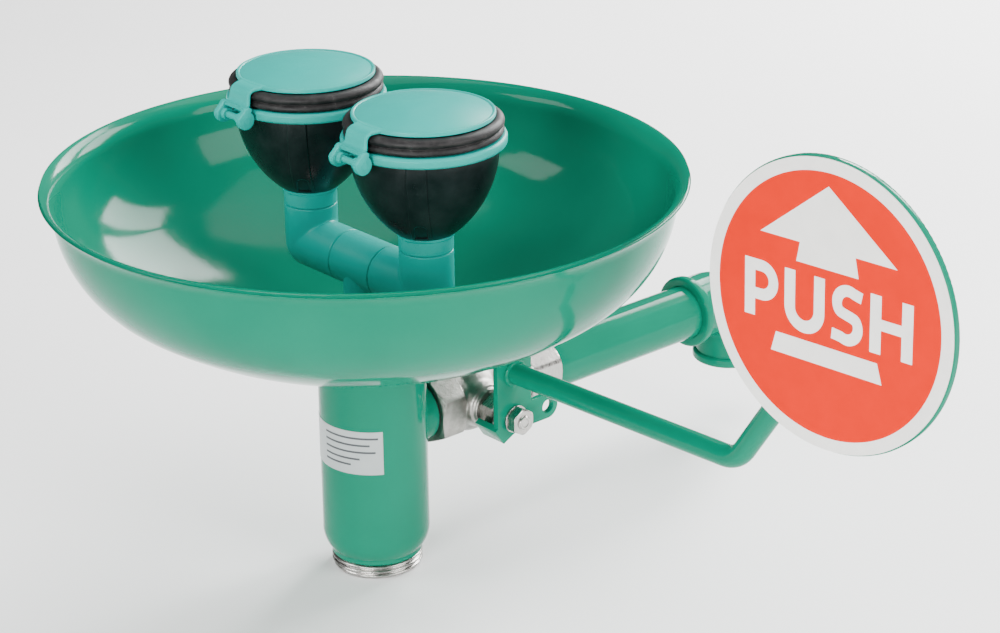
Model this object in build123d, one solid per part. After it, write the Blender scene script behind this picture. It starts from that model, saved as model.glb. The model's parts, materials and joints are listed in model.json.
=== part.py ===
"""Emergency eye and face wash: a bowl on a drain body, two capped spray heads and a push-plate lever valve.

Millimetres, +Z up. The origin is the centre of the drain outlet's lower face and the bowl's axis is Z.
+Y points to the supply elbow, +X to the user's right hand, and the user stands on the -Y side.
"""
from build123d import *
from math import asin, cos, degrees, radians, sin
import os

# ---- driving dimensions ----
bowl_rim_r = 142.5          # outermost edge of the rolled lip
bowl_rim_z = 190.0          # top of the lip
bowl_base_z = 112.0         # underside of the bowl's flat middle
bowl_wall = 2.0
bowl_flat_r = 30.0
bowl_toe_r = 120.0          # arc radii of the underside, from the middle outwards
bowl_heel_r = 52.0
bowl_lip_r = 8.0
bowl_turns = (16.0, 18.0, 51.0)   # degrees turned by the toe, belly and heel arcs
bowl_lip_turn = 65.0

body_r = 24.5               # drain body
body_bore_r = 19.0
body_foot_r = 21.5
body_foot_h = 13.0
outlet_thread_r = 20.955    # G 1 1/4, 41.91 mm over the crests
outlet_thread_len = 6.6
outlet_spigot_r = 18.0
outlet_spigot_len = 12.0
outlet_bore_r = 16.0
boss_r = 14.0
boss_end_y = 28.0

gasket_t = 1.5
seal_t = 1.0
flange_r = 29.5             # waste flange on the bowl's flat middle
flange_t = 3.0
flange_skirt_wall = 1.6
flange_skirt_len = 14.0
strainer_r = 26.5
strainer_t = 1.5
strainer_screw_pcd_r = 22.4
strainer_screw_r = 1.5
strainer_hole_r = 1.6

supply_z = 67.4             # height of the supply line's axis
pipe_r = 13.45              # 3/4" pipe, 26.9 mm outside
pipe_wall = 2.65
pipe_start_y = 103.5
elbow_y = 232.3             # axis of the supply elbow's downward leg
elbow_reach = 33.0          # 3/4" malleable elbow, centre to end
elbow_r = 16.2
elbow_bead_r = 18.0
elbow_bead_w = 5.0
elbow_turn_r = 17.5
elbow_thread_r = 12.06      # Rp 3/4 bore
elbow_thread_len = 15.0
elbow_way_r = 10.5

valve_y = 53.0              # lever stem axis
valve_hex_af = 32.0
valve_hex_y = (30.0, 42.5)
valve_cast_r = 17.0
valve_cast_end_y = 84.0
valve_end_hex_y = (85.0, 102.5)
valve_way_r = 8.0
chamber_r = 13.5
ball_r = 11.0
stem_r = 4.5
stem_end_x = 44.5
housing_r = 9.0
housing_end_x = 21.0
gland_af = 14.0
gland_end_x = 29.5
nipple_r = 10.3
nipple_bore_r = 7.5

riser_r = 8.4
riser_bore_r = 6.5
yoke_z = 147.0              # axis of the yoke's cross tube
yoke_r = 12.0
yoke_bore_r = 9.0
tee_half = 13.5
tee_foot_z = 119.0
tee_foot_r = 11.5
head_space = 12.0           # free width between the two cuffs
elbow_bend_r = 12.6
collar_z = (166.0, 174.0)
collar_ring_h = 1.6
joint_groove = 0.35

cup_foot_r = 13.0
cup_belly = (26.6, 190.0)   # radius and height of the widest turn of the cup's wall
cup_top_r = 32.6
cup_shoulder_z = 213.5
cup_lip_z = 218.2
cup_lip_r = 32.0
cup_wall = 2.0
spray_plate_z = 205.0
spray_plate_t = 2.0
spray_plate_inset = 0.6      # cup lip's bore to the plate's edge, where the wall narrows
ring_proud = 1.15           # retaining ring outside the cuff
ring_h = 5.0
cuff_r = 34.5
cuff_h = 7.4
cuff_bore_r = 28.5
cap_r = 30.8
cap_rim_h = 2.0
cap_dome_h = 4.2
cap_wall = 1.8

hinge_reach = 5.5            # cap hinge in front of the cuff
hinge_z = 215.0
hinge_pin_r = 1.6
hinge_half = 9.7
ear_w = 3.2
ear_r = 4.3
lug_r = 2.7
lug_w = 2.2
strap_t = 2.0
bar_lift = 1.2              # cross bar above the ring's full height

plate_x = (34.5, 37.5)      # lever bracket plate, inner and outer faces
arm_reach = 20.3            # stem axis to the pull-rod hole
arm_half_h = 6.1
arm_hole_r = 3.25
bracket_half_w = 10.0
bracket_top_z = 97.0
tab_reach = 8.7             # stem axis to the stop tab's inner face
tab_start_x = 23.0
rod_r = 5.0
rod_z = 90.0
rod_corner = (177.0, 95.5)  # x and z of the rod's bend
rod_bend_r = 14.0
rod_rise = 57.0             # degrees of the upper leg above level
rod_overrun = 22.0          # rod's end above the plate's centre
plate_yaw = 2.9
push_r = 61.5
push_t = 3.0
push_z = 181.4
push_aside = -4.8           # plate's centre from the rod's axis, along the plate
sign_r = 60.8
sign_t = 0.8
nut_af = 11.5
nut_h = 5.0
washer_r = 6.5
washer_t = 1.0

# ---- clearances ----
run_fit = 0.05              # radial, between a turning shaft and its hole
slip = 0.1                  # radial, between pieces fixed together
gap = 0.3                   # between pieces of different bodies
thin = 0.2                  # a screw or label clear of what it sits in

# ---- places that follow ----
ring_r = cuff_r + ring_proud
hinge_y = -(cuff_r + hinge_reach)
head_x = cuff_r + head_space / 2   # half the spacing of the spray heads
bowl_floor_z = bowl_base_z + bowl_wall
body_top_z = bowl_base_z - gasket_t
bowl_hole_r = body_bore_r + thin
flange_z = bowl_floor_z + seal_t
flange_top_z = flange_z + flange_t
strainer_z = flange_top_z - strainer_t
cuff_z = cup_lip_z + gap
cuff_top_z = cuff_z + cuff_h
cap_z = cuff_top_z + gap
elbow_face_y = elbow_y - elbow_reach
elbow_face_z = supply_z - elbow_reach


# ---- small helpers ----
def rod(start, direction, length, radius):
    """A cylinder from a point along a direction."""
    return extrude(Plane(origin=start, z_dir=direction) * Circle(radius), amount=length)


def pipe_z(outer, inner, low, high, x=0.0, y=0.0):
    """A tube standing on Z between two heights."""
    solid = rod((x, y, low), (0, 0, 1), high - low, outer)
    return solid - rod((x, y, low - 1), (0, 0, 1), high - low + 2, inner)


def pipe_y(outer, inner, near, far):
    """A tube on the supply line's axis between two places along Y."""
    solid = rod((0, near, supply_z), (0, 1, 0), far - near, outer)
    return solid - rod((0, near - 1, supply_z), (0, 1, 0), far - near + 2, inner)


def pipe_x(outer, inner, near, far):
    """A tube on the lever stem's axis between two places along X."""
    solid = rod((near, valve_y, supply_z), (1, 0, 0), far - near, outer)
    return solid - rod((near - 1, valve_y, supply_z), (1, 0, 0), far - near + 2, inner)


def hexagon(start, direction, length, flats, twist=0.0):
    """A hexagonal bar with rounded corner ends, as on a turned fitting."""
    base = Plane(origin=start, z_dir=direction).rotated((0, 0, twist))
    bar = extrude(base * RegularPolygon(flats / 2, 6, major_radius=False), amount=length)
    corner = flats / 2 / cos(radians(30))
    turned = rod(start, direction, length, corner)
    return bar & chamfer(turned.edges(), min(corner - flats / 2, length / 3) * 0.6)


def bar_along(points, bend_r, radius):
    """A round bar along straight runs joined by an arc at each corner."""
    path = FilletPolyline(*points, radius=bend_r)
    return sweep(Plane(origin=path @ 0, z_dir=path % 0) * Circle(radius), path=path)


def turned(*edges):
    """A solid turned about Z from its half outline in x and z."""
    return revolve(Plane.XZ * make_face(list(edges)), Axis.Z)


def turned_polygon(*points):
    return revolve(Plane.XZ * make_face(Polyline(*points, close=True)), Axis.Z)


def at_head(solid, side):
    return Pos(side * head_x, 0, 0) * solid


# ---- bowl ----
def bowl_shape():
    """Belly radius and wall height that bring the lip to the stated rim radius and height."""
    a = radians(bowl_turns[0])
    b = a + radians(bowl_turns[1])
    c = b + radians(bowl_turns[2])
    d = c - radians(bowl_lip_turn)
    far = bowl_flat_r + bowl_toe_r * sin(a) + bowl_heel_r * (sin(c) - sin(b))
    far += bowl_lip_r * (sin(c) - sin(d)) + bowl_wall / 2 * cos(d)
    high = bowl_toe_r * (1 - cos(a)) + bowl_heel_r * (cos(b) - cos(c))
    high += bowl_lip_r * (cos(d) - cos(c)) + bowl_wall
    need_r = bowl_rim_r - far
    need_z = bowl_rim_z - bowl_base_z - high
    det = (sin(b) - sin(a)) * sin(c) - (cos(a) - cos(b)) * cos(c)
    belly = (need_r * sin(c) - need_z * cos(c)) / det
    wall = (need_z * (sin(b) - sin(a)) - need_r * (cos(a) - cos(b))) / det
    return belly, wall


def bowl_line(inset):
    """One face of the bowl as a chain of tangent arcs, inset from the underside."""
    belly, wall = bowl_shape()
    flat = Line((bowl_hole_r, bowl_base_z + inset), (bowl_flat_r, bowl_base_z + inset))
    chain = [flat]
    for radius, turn in zip((bowl_toe_r, belly, bowl_heel_r), bowl_turns):
        last = chain[-1]
        chain.append(JernArc(last @ 1, last % 1, radius - inset, turn))
    side = Line(chain[-1] @ 1, chain[-1] @ 1 + (chain[-1] % 1) * wall)
    chain.append(side)
    chain.append(JernArc(side @ 1, side % 1, bowl_lip_r + inset, -bowl_lip_turn))
    return chain


def make_bowl():
    outer = bowl_line(0)
    inner = bowl_line(bowl_wall)
    ends = outer[-1] @ 1, inner[-1] @ 1
    crown = (ends[0] + ends[1]) / 2 + (outer[-1] % 1) * (bowl_wall / 2)
    lip = ThreePointArc(ends[0], crown, ends[1])
    hole = Line(outer[0] @ 0, inner[0] @ 0)
    return turned(*outer, lip, *inner, hole)


# ---- drain ----
def make_drain_body():
    low = outlet_thread_len
    shoulder = low + body_foot_h
    foot = Line((outlet_spigot_r + slip, low), (body_foot_r, low))
    round_up = ThreePointArc(foot @ 1, (body_r - 0.7, low + body_foot_h * 0.42), (body_r, shoulder))
    bore_z = low + outlet_spigot_len + slip
    rest = Polyline((body_r, shoulder), (body_r, body_top_z), (body_bore_r, body_top_z),
                    (body_bore_r, bore_z + 2), (outlet_spigot_r + slip, bore_z), foot @ 0)
    shell = turned(foot, round_up, rest)
    boss = rod((0, body_bore_r, supply_z), (0, 1, 0), boss_end_y - body_bore_r, boss_r)
    boss -= rod((0, 0, 0), (0, 0, 1), body_top_z, body_bore_r)
    hole = rod((0, 0, supply_z), (0, 1, 0), boss_end_y + 1, nipple_r + 1.8 + slip)
    return shell + boss - hole


def make_outlet_nipple():
    thread = pipe_z(outlet_thread_r, outlet_bore_r, 0, outlet_thread_len)
    top = outlet_thread_len + outlet_spigot_len
    return thread + pipe_z(outlet_spigot_r, outlet_bore_r, outlet_thread_len, top)


def make_body_label():
    """A wrapped label: a thin shell over part of the body's side."""
    low = 54.6
    high = 75.7
    shell = pipe_z(body_r + thin, body_r + thin / 2, low, high)
    wedge = make_face([
        Line((0, 0), (2 * body_r * cos(radians(-146)), 2 * body_r * sin(radians(-146)))),
        ThreePointArc((2 * body_r * cos(radians(-146)), 2 * body_r * sin(radians(-146))),
                      (0, -2 * body_r),
                      (2 * body_r * cos(radians(-29)), 2 * body_r * sin(radians(-29)))),
        Line((2 * body_r * cos(radians(-29)), 2 * body_r * sin(radians(-29))), (0, 0)),
    ])
    return shell & extrude(Pos(0, 0, low) * wedge, amount=high - low)


def make_waste_flange():
    """A flange in the bowl with a skirt into the body's bore and a ledge for the strainer."""
    skirt_r = body_bore_r - slip
    bore_r = skirt_r - flange_skirt_wall
    edge = 0.8
    return turned_polygon(
        (bore_r, flange_z - flange_skirt_len), (skirt_r, flange_z - flange_skirt_len),
        (skirt_r, flange_z), (flange_r, flange_z), (flange_r, flange_top_z - edge),
        (flange_r - edge, flange_top_z), (strainer_r + slip, flange_top_z),
        (strainer_r + slip, strainer_z), (bore_r, strainer_z)) - strainer_screw_holes(strainer_screw_r + slip)


def strainer_screw_holes(radius):
    low = flange_z - 1
    pins = [rod((x, y, low), (0, 0, 1), flange_t + 2, radius) for x, y in strainer_screw_places()]
    return Compound(pins)


def strainer_screw_places():
    return [(strainer_screw_pcd_r * cos(radians(a)), strainer_screw_pcd_r * sin(radians(a)))
            for a in (30, 150, 270)]


def make_strainer():
    disc = pipe_z(strainer_r, tee_foot_r + slip, strainer_z, flange_top_z)
    holes = []
    for row_r, count in ((14.2, 16), (18.2, 20), (22.4, 24)):
        for i in range(count):
            a = radians(360 * (i + 0.5) / count)
            x, y = row_r * cos(a), row_r * sin(a)
            near_screw = [abs(Vector(x - sx, y - sy).length) < 4.2 for sx, sy in strainer_screw_places()]
            if not any(near_screw):
                holes.append(rod((x, y, strainer_z - 1), (0, 0, 1), strainer_t + 2, strainer_hole_r))
    return disc - Compound(holes) - strainer_screw_holes(strainer_screw_r + slip)


def make_strainer_screws():
    screws = []
    for x, y in strainer_screw_places():
        shank = rod((x, y, flange_z + thin), (0, 0, 1), flange_t - thin, strainer_screw_r)
        head = rod((x, y, flange_top_z), (0, 0, 1), 1.3, 2.7)
        head = fillet(head.edges().group_by(Axis.Z)[-1], 0.8)
        socket = extrude(Pos(x, y, flange_top_z + 0.5) * RegularPolygon(1.1, 6), amount=2)
        screws.append(shank + head - socket)
    return screws


def make_inner_elbow():
    """The brass elbow inside the drain body that turns the supply up to the riser."""
    leg_r = nipple_r + 1.8
    top_z = body_top_z - gasket_t
    turn_r = 11.0
    leg = rod((0, turn_r, supply_z), (0, 1, 0), boss_end_y - turn_r, leg_r)
    up = rod((0, 0, supply_z + turn_r), (0, 0, 1), top_z - supply_z - turn_r, riser_r + 2.2)
    route = (0, boss_end_y - 1, supply_z), (0, 0, supply_z), (0, 0, top_z - 1)
    way = (0, boss_end_y + 1, supply_z), (0, 0, supply_z), (0, 0, top_z + 1)
    solid = leg + up + bar_along(route, turn_r, leg_r - 1.6) - bar_along(way, turn_r, riser_bore_r)
    solid -= rod((0, turn_r + 3, supply_z), (0, 1, 0), boss_end_y, nipple_r + slip)
    return solid - rod((0, 0, top_z - 16), (0, 0, 1), 20, riser_r + slip)


# ---- yoke and heads ----
def make_yoke_tee():
    run = rod((-tee_half, 0, yoke_z), (1, 0, 0), 2 * tee_half, yoke_r)
    run = chamfer(run.edges(), joint_groove)
    foot = rod((0, 0, tee_foot_z), (0, 0, 1), yoke_z - tee_foot_z, tee_foot_r)
    solid = run + foot - rod((-tee_half - 1, 0, yoke_z), (1, 0, 0), 2 * tee_half + 2, yoke_bore_r)
    solid -= rod((0, 0, tee_foot_z - 1), (0, 0, 1), yoke_z - tee_foot_z, riser_bore_r)
    socket = yoke_z - yoke_r - tee_foot_z + 2
    return solid - rod((0, 0, tee_foot_z - 1), (0, 0, 1), socket + 1, riser_r + slip)


def make_yoke_elbow(side):
    start = (side * tee_half, 0, yoke_z)
    corner = (side * head_x, 0, yoke_z)
    end = (side * head_x, 0, collar_z[0])
    bar = bar_along((start, corner, end), elbow_bend_r, yoke_r)
    circles = bar.edges().filter_by(GeomType.CIRCLE)
    mouths = [circles.sort_by(lambda e: (e.arc_center - Vector(*place)).length)[0] for place in (start, end)]
    bar = chamfer(mouths, joint_groove)
    way_start = (side * (tee_half - 1), 0, yoke_z)
    way_end = (side * head_x, 0, collar_z[0] + 1)
    return bar - bar_along((way_start, corner, way_end), elbow_bend_r, yoke_bore_r)


def make_neck_collar():
    low, high = collar_z
    tube = rod((0, 0, low), (0, 0, 1), high - low, yoke_r)
    tube = chamfer(tube.edges().sort_by(Axis.Z)[0], joint_groove)
    ring = rod((0, 0, high - collar_ring_h), (0, 0, 1), collar_ring_h, yoke_r + 0.6)
    return tube + fillet(ring.edges(), 0.5) - rod((0, 0, low - 1), (0, 0, 1), high, yoke_bore_r)


def make_flow_regulator():
    """A plastic disc in the collar that evens out the flow, with six ports."""
    low = collar_z[0] + 1
    disc = rod((0, 0, low), (0, 0, 1), 4, yoke_bore_r - slip)
    ports = [rod((5 * cos(radians(a)), 5 * sin(radians(a)), low - 1), (0, 0, 1), 6, 1.4)
             for a in range(0, 360, 60)]
    return disc - Compound(ports)


def make_cup():
    """The tulip cup: a bulging wall and a stepped lip for the ring."""
    foot_z = collar_z[1]
    belly_r, belly_z = cup_belly
    foot = Line((yoke_bore_r, foot_z), (cup_foot_r, foot_z))
    outer = ThreePointArc((cup_foot_r, foot_z), (belly_r, belly_z), (cup_top_r, cup_shoulder_z))
    step = Polyline((cup_top_r, cup_shoulder_z), (cup_lip_r, cup_shoulder_z), (cup_lip_r, cup_lip_z),
                    (cup_lip_r - cup_wall, cup_lip_z), (cup_lip_r - cup_wall, cup_shoulder_z))
    floor_z = foot_z + cup_wall
    inner = ThreePointArc(step @ 1, (belly_r - cup_wall * 0.8, belly_z + cup_wall * 0.6),
                          (cup_foot_r - cup_wall, floor_z))
    base = Polyline(inner @ 1, (yoke_bore_r, floor_z), (yoke_bore_r, foot_z))
    return turned(foot, outer, step, inner, base)


def make_spray_plate():
    """The perforated plate across the cup, seated on its own edge against the cup's wall."""
    disc = rod((0, 0, spray_plate_z), (0, 0, 1), spray_plate_t, cup_lip_r - cup_wall - spray_plate_inset)
    jets = []
    for row_r, count in ((0, 1), (7, 6), (14, 12), (21, 18)):
        for i in range(count):
            a = radians(360 * i / count)
            jets.append(rod((row_r * cos(a), row_r * sin(a), spray_plate_z - 1), (0, 0, 1),
                            spray_plate_t + 2, 1.0))
    return disc - Compound(jets)


def make_ring():
    """The retaining ring with two hinge lugs on its front."""
    band = pipe_z(ring_r, cup_lip_r + slip, cup_shoulder_z, cup_shoulder_z + ring_h - gap)
    band = fillet(band.edges().filter_by(GeomType.CIRCLE).group_by(SortBy.RADIUS)[-1], 1.6)
    inner_x = hinge_half - ear_w - gap - lug_w
    solid = band
    for side in (-1, 1):
        x = min(side * inner_x, side * (inner_x + lug_w))
        knuckle = rod((x, hinge_y, hinge_z), (1, 0, 0), lug_w, lug_r)
        web_len = -hinge_y - cup_lip_r - 1.5
        web = Pos(x + lug_w / 2, hinge_y + web_len / 2, hinge_z) * Box(lug_w, web_len, 2.6)
        solid = solid + knuckle + web
    pin_hole = rod((-hinge_half, hinge_y, hinge_z), (1, 0, 0), 2 * hinge_half, hinge_pin_r + 0.02)
    return solid - pin_hole


def make_hinge_pin():
    return rod((-hinge_half, hinge_y, hinge_z), (1, 0, 0), 2 * hinge_half, hinge_pin_r)


def make_cuff():
    """The soft rubber rim: two rolled lobes outside and a skirt inside the cup's lip."""
    low = cuff_z
    mid = low + cuff_h * 0.42
    top = cuff_top_z
    waist = cuff_r - 1.1
    skirt_r = cup_lip_r - cup_wall - thin
    lower = ThreePointArc((cuff_r - 1.6, low), (cuff_r - 0.2, (low + mid) / 2), (waist, mid))
    upper = ThreePointArc((waist, mid), (cuff_r, (mid + top) / 2 - 0.3), (cuff_r - 3.0, top))
    roll = ThreePointArc((cuff_r - 3.0, top), (cuff_bore_r + 0.6, top - 1.2), (cuff_bore_r, top - 3.4))
    rest = Polyline((cuff_bore_r, top - 3.4), (cuff_bore_r, low - 5), (skirt_r, low - 5),
                    (skirt_r, low), (cuff_r - 1.6, low))
    return turned(lower, upper, roll, rest)


def dome_arc(edge_r, edge_z, crown_z):
    """Half of a shallow dome's outline, from its crown on the axis to its edge."""
    sag = crown_z - edge_z
    radius = (edge_r ** 2 + sag ** 2) / (2 * sag)
    spread = degrees(asin(edge_r / radius))
    return CenterArc((0, crown_z - radius), radius, 90, -spread)


def make_cap():
    """A domed cap with a raised rim, a curved strap over the cuff and two hinge ears."""
    low = cap_z
    high = low + cap_rim_h
    dome_r = cap_r - 1.6
    crown = high + cap_dome_h
    dome = dome_arc(dome_r, high - 0.4, crown)
    rim = Polyline((dome_r, high - 0.4), (dome_r + 0.4, high), (cap_r - 0.5, high), (cap_r, high - 0.5),
                   (cap_r, low + 0.3), (cap_r - 0.3, low), (dome_r - 1.5, low))
    under = dome_arc(dome_r - 1.5, low, crown - cap_wall)
    disc = turned(dome, rim, under, Line((0, crown - cap_wall), (0, crown)))
    return disc + make_strap() + make_ears()


def make_strap():
    """The strap in side view: level from the rim, round over the cuff and down to the cross bar."""
    width = 2 * (hinge_half - 1.3)
    back = -(cuff_r + gap + 0.2)
    low = cap_z
    bar_z = cup_shoulder_z + ring_h + bar_lift
    inner = Line((-cap_r + 2.6, low), (back + 2.6, low))
    turn = ThreePointArc(inner @ 1, (back + 0.75, low - 0.8), (back, low - 2.8))
    drop = Line(turn @ 1, (back - 0.3, bar_z))
    foot = Line(drop @ 1, (hinge_y - 1.0, bar_z))
    toe = Line(foot @ 1, (hinge_y - 1.0, bar_z + strap_t))
    heel = Line(toe @ 1, (back - 0.2 - strap_t, bar_z + strap_t + 0.3))
    rise = Line(heel @ 1, (back - strap_t, low - 2.4))
    over = ThreePointArc(rise @ 1, (back - 0.6, low + 0.9), (back + 2.8, low + cap_rim_h - 0.1))
    top = Line(over @ 1, (-cap_r + 2.6, low + cap_rim_h - 0.1))
    close = Line(top @ 1, inner @ 0)
    side = make_face([inner, turn, drop, foot, toe, heel, rise, over, top, close])
    strap = extrude(Plane.YZ * side, amount=width / 2, both=True)
    keep = rod((0, 0, low - 20), (0, 0, 1), 40, cap_r - 1.0)
    return strap - keep


def make_ears():
    """Two round-nosed ears that hang from the cross bar to the hinge pin."""
    bar_z = cup_shoulder_z + ring_h + bar_lift
    top = bar_z + strap_t
    ears = None
    for side in (-1, 1):
        x = side * (hinge_half - ear_w / 2)
        lobe = rod((x - ear_w / 2, hinge_y, hinge_z), (1, 0, 0), ear_w, ear_r)
        neck = Pos(x, hinge_y - ear_r / 2 + 1.6, (hinge_z + top) / 2)
        neck = neck * Box(ear_w, ear_r + 2.0, top - hinge_z)
        ear = lobe + neck
        ear -= rod((x - ear_w, hinge_y, hinge_z), (1, 0, 0), 2 * ear_w, hinge_pin_r + run_fit)
        ears = ear if ears is None else ears + ear
    return ears


def make_cap_liner():
    """The foam disc under the cap that keeps dust out of the cuff."""
    return rod((0, 0, cap_z - 0.9), (0, 0, 1), 0.9, cuff_bore_r - 1.6)


# ---- supply line and valve ----
def make_valve_body():
    """Hexagonal inlet end, cast round middle and the housing around the lever stem."""
    hex_near, hex_far = valve_hex_y
    solid = hexagon((0, hex_near, supply_z), (0, 1, 0), hex_far - hex_near, valve_hex_af, 30)
    cast = rod((0, hex_far, supply_z), (0, 1, 0), valve_cast_end_y - hex_far, valve_cast_r - 1)
    belly = Pos(0, valve_y + 1, supply_z) * Sphere(valve_cast_r + 0.6)
    solid = solid + cast + belly
    solid += rod((0, valve_y, supply_z), (1, 0, 0), housing_end_x, housing_r)
    solid -= rod((0, hex_near - 1, supply_z), (0, 1, 0), valve_y - hex_near, valve_way_r)
    solid -= rod((0, hex_near - 1, supply_z), (0, 1, 0), hex_far - hex_near - 1, nipple_r + slip)
    solid -= rod((0, valve_y - ball_r, supply_z), (0, 1, 0), valve_cast_end_y, chamber_r)
    solid -= rod((0, valve_y, supply_z), (1, 0, 0), housing_end_x + 1, stem_r + run_fit)
    return solid - rod((chamber_r + 2, valve_y, supply_z), (1, 0, 0), housing_end_x, 6.5)


def make_valve_end():
    """The screwed-in end: a plug against the seat, a hexagon and a spigot into the pipe."""
    near, far = valve_end_hex_y
    plug_y = valve_y + ball_r + slip
    solid = hexagon((0, near, supply_z), (0, 1, 0), far - near, valve_hex_af - 2, 30)
    solid += rod((0, plug_y, supply_z), (0, 1, 0), near - plug_y, chamber_r - slip)
    solid += rod((0, far, supply_z), (0, 1, 0), 16, pipe_r - pipe_wall - slip)
    return solid - rod((0, plug_y - 1, supply_z), (0, 1, 0), 80, valve_way_r)


def make_valve_seats():
    """Two PTFE rings that cradle the ball, one each side."""
    ball = Pos(0, valve_y, supply_z) * Sphere(ball_r + run_fit)
    seats = []
    for near, far in ((valve_y - ball_r, valve_y - 5.5), (valve_y + 5.5, valve_y + ball_r)):
        seats.append(pipe_y(chamber_r - slip, valve_way_r, near, far) - ball)
    return seats


def make_valve_ball():
    """The ball, shut at rest: its bore stands upright until the lever turns it a quarter."""
    ball = Pos(0, valve_y, supply_z) * Sphere(ball_r)
    ball -= rod((0, valve_y, supply_z - 20), (0, 0, 1), 40, valve_way_r - 1)
    slot = Pos(ball_r - 1.2, valve_y, supply_z) * Box(4.4, 5.0 + 2 * slip, 14)
    return ball - slot


def make_valve_stem():
    tang_x = ball_r - 3.2
    shaft = rod((tang_x, valve_y, supply_z), (1, 0, 0), stem_end_x - tang_x, stem_r)
    keep_x = (ball_r + 0.6 - tang_x)
    tang = Pos(tang_x + keep_x / 2, valve_y, supply_z) * Box(keep_x, 5.0, 9.2)
    blank = Pos(tang_x + keep_x / 2, valve_y, supply_z) * Box(keep_x, 12, 12)
    return chamfer((shaft - (blank - tang)).edges().group_by(Axis.X)[-1], 0.6)


def make_gland_nut():
    nut = hexagon((housing_end_x, valve_y, supply_z), (1, 0, 0), gland_end_x - housing_end_x, gland_af, 0)
    return nut - rod((0, valve_y, supply_z), (1, 0, 0), 60, stem_r + run_fit)


def make_supply_elbow():
    """A beaded 90 degree elbow whose second leg points down, with a female thread."""
    corner = (0, elbow_y, supply_z)
    solid = bar_along(((0, elbow_face_y, supply_z), corner, (0, elbow_y, elbow_face_z)), elbow_turn_r, elbow_r)
    bead_y = rod((0, elbow_face_y, supply_z), (0, 1, 0), elbow_bead_w, elbow_bead_r)
    bead_z = rod((0, elbow_y, elbow_face_z), (0, 0, 1), elbow_bead_w, elbow_bead_r)
    solid = solid + fillet(bead_y.edges(), 1.6) + fillet(bead_z.edges(), 1.6)
    way = (0, elbow_face_y - 1, supply_z), corner, (0, elbow_y, elbow_face_z - 1)
    solid -= bar_along(way, elbow_turn_r, elbow_way_r)
    solid -= rod((0, elbow_face_y - 1, supply_z), (0, 1, 0), elbow_thread_len, pipe_r + slip)
    return solid - rod((0, elbow_y, elbow_face_z - 1), (0, 0, 1), elbow_thread_len + 1, elbow_thread_r)


def make_supply_pipe():
    end_y = elbow_face_y + elbow_thread_len - 2
    return pipe_y(pipe_r, pipe_r - pipe_wall, pipe_start_y, end_y)


# ---- lever ----
def bracket_outline():
    """The bracket in side view: upright limb, pull arm and a sloping edge for the stop tab."""
    left = valve_y - bracket_half_w - 0.5
    right = valve_y + bracket_half_w
    z = supply_z
    arm_y = valve_y + arm_reach
    tab_top, tab_low = tab_edge()
    nose = ThreePointArc((arm_y, z - arm_half_h), (arm_y + arm_half_h, z), (arm_y, z + arm_half_h))
    upper = Polyline((arm_y, z + arm_half_h), (right, z + arm_half_h), (right, bracket_top_z),
                     (left, bracket_top_z), (left, tab_top[1]), tab_top, tab_low,
                     (valve_y - 1, z - arm_half_h - 1.6), (valve_y + 3, z - arm_half_h), nose @ 0)
    return make_face([nose, upper])


def tab_edge():
    """The sloping edge that the stop tab is bent along, in y and z."""
    reach = tab_reach + plate_x[1] - plate_x[0]
    slope = radians(34)
    foot = Vector(valve_y - reach * cos(slope), supply_z - reach * sin(slope))
    along = Vector(-sin(slope), cos(slope))
    high, low = foot + along * 4.0, foot - along * 5.0
    return (high.X, high.Y), (low.X, low.Y)


def make_bracket():
    inner_x, outer_x = plate_x
    plate = extrude(Plane.YZ.offset(inner_x) * bracket_outline(), amount=outer_x - inner_x)
    tab_top, tab_low = tab_edge()
    edge = Vector(tab_low[0] - tab_top[0], tab_low[1] - tab_top[1]).normalized()
    inward = Vector(-edge.Y, edge.X)
    if inward.X < 0:
        inward = inward * -1
    t = outer_x - inner_x
    corners = [Vector(*tab_top), Vector(*tab_low), Vector(*tab_low) + inward * t, Vector(*tab_top) + inward * t]
    section = make_face(Polyline(*[(p.X, p.Y) for p in corners], close=True))
    tab = extrude(Plane.YZ.offset(tab_start_x) * section, amount=outer_x - tab_start_x)
    hole = rod((0, valve_y + arm_reach, supply_z), (1, 0, 0), 60, arm_hole_r)
    stem_hole = rod((0, valve_y, supply_z), (1, 0, 0), 60, stem_r + 0.02)
    return plate + tab - hole - stem_hole


def rod_route():
    """Centre line of the lever rod: level leg, bend and the leg that rises behind the plate."""
    corner = Vector(rod_corner[0], valve_y, rod_corner[1])
    rise = radians(rod_rise)
    lean = cos(rise) * sin(radians(plate_yaw)) / cos(radians(plate_yaw))
    up = Vector(cos(rise), lean, sin(rise)).normalized()
    top = corner + up * ((push_z + rod_overrun - corner.Z) / up.Z)
    return (plate_x[1] - 3, valve_y, rod_z), corner, top


def make_lever_rod():
    start, corner, top = rod_route()
    path = FilletPolyline(start, corner, top, radius=rod_bend_r)
    bar = sweep(Plane(origin=path @ 0, z_dir=path % 0) * Circle(rod_r), path=path)
    bar = bar - Pos(plate_x[1] - 10, valve_y, rod_z) * Box(20, 40, 40)
    return chamfer(bar.edges().filter_by(GeomType.CIRCLE).group_by(Axis.Z)[-1], 1.0)


def push_plane(depth):
    """The plane of the push plate's faces, square to the viewer side, so far in front of the rod."""
    start, corner, top = rod_route()
    share = (push_z - corner.Z) / (top.Z - corner.Z)
    behind = corner + (top - corner) * share
    yaw = radians(plate_yaw)
    normal = Vector(sin(yaw), -cos(yaw), 0)
    across = Vector(cos(yaw), sin(yaw), 0)
    return Plane(origin=behind + normal * (rod_r + depth) + across * push_aside, x_dir=across, z_dir=normal)


def make_push_plate():
    disc = extrude(push_plane(0) * Circle(push_r), amount=push_t)
    return fillet(disc.edges(), 0.6)


def make_push_sign():
    return extrude(push_plane(push_t) * Circle(sign_r), amount=sign_t)


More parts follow.
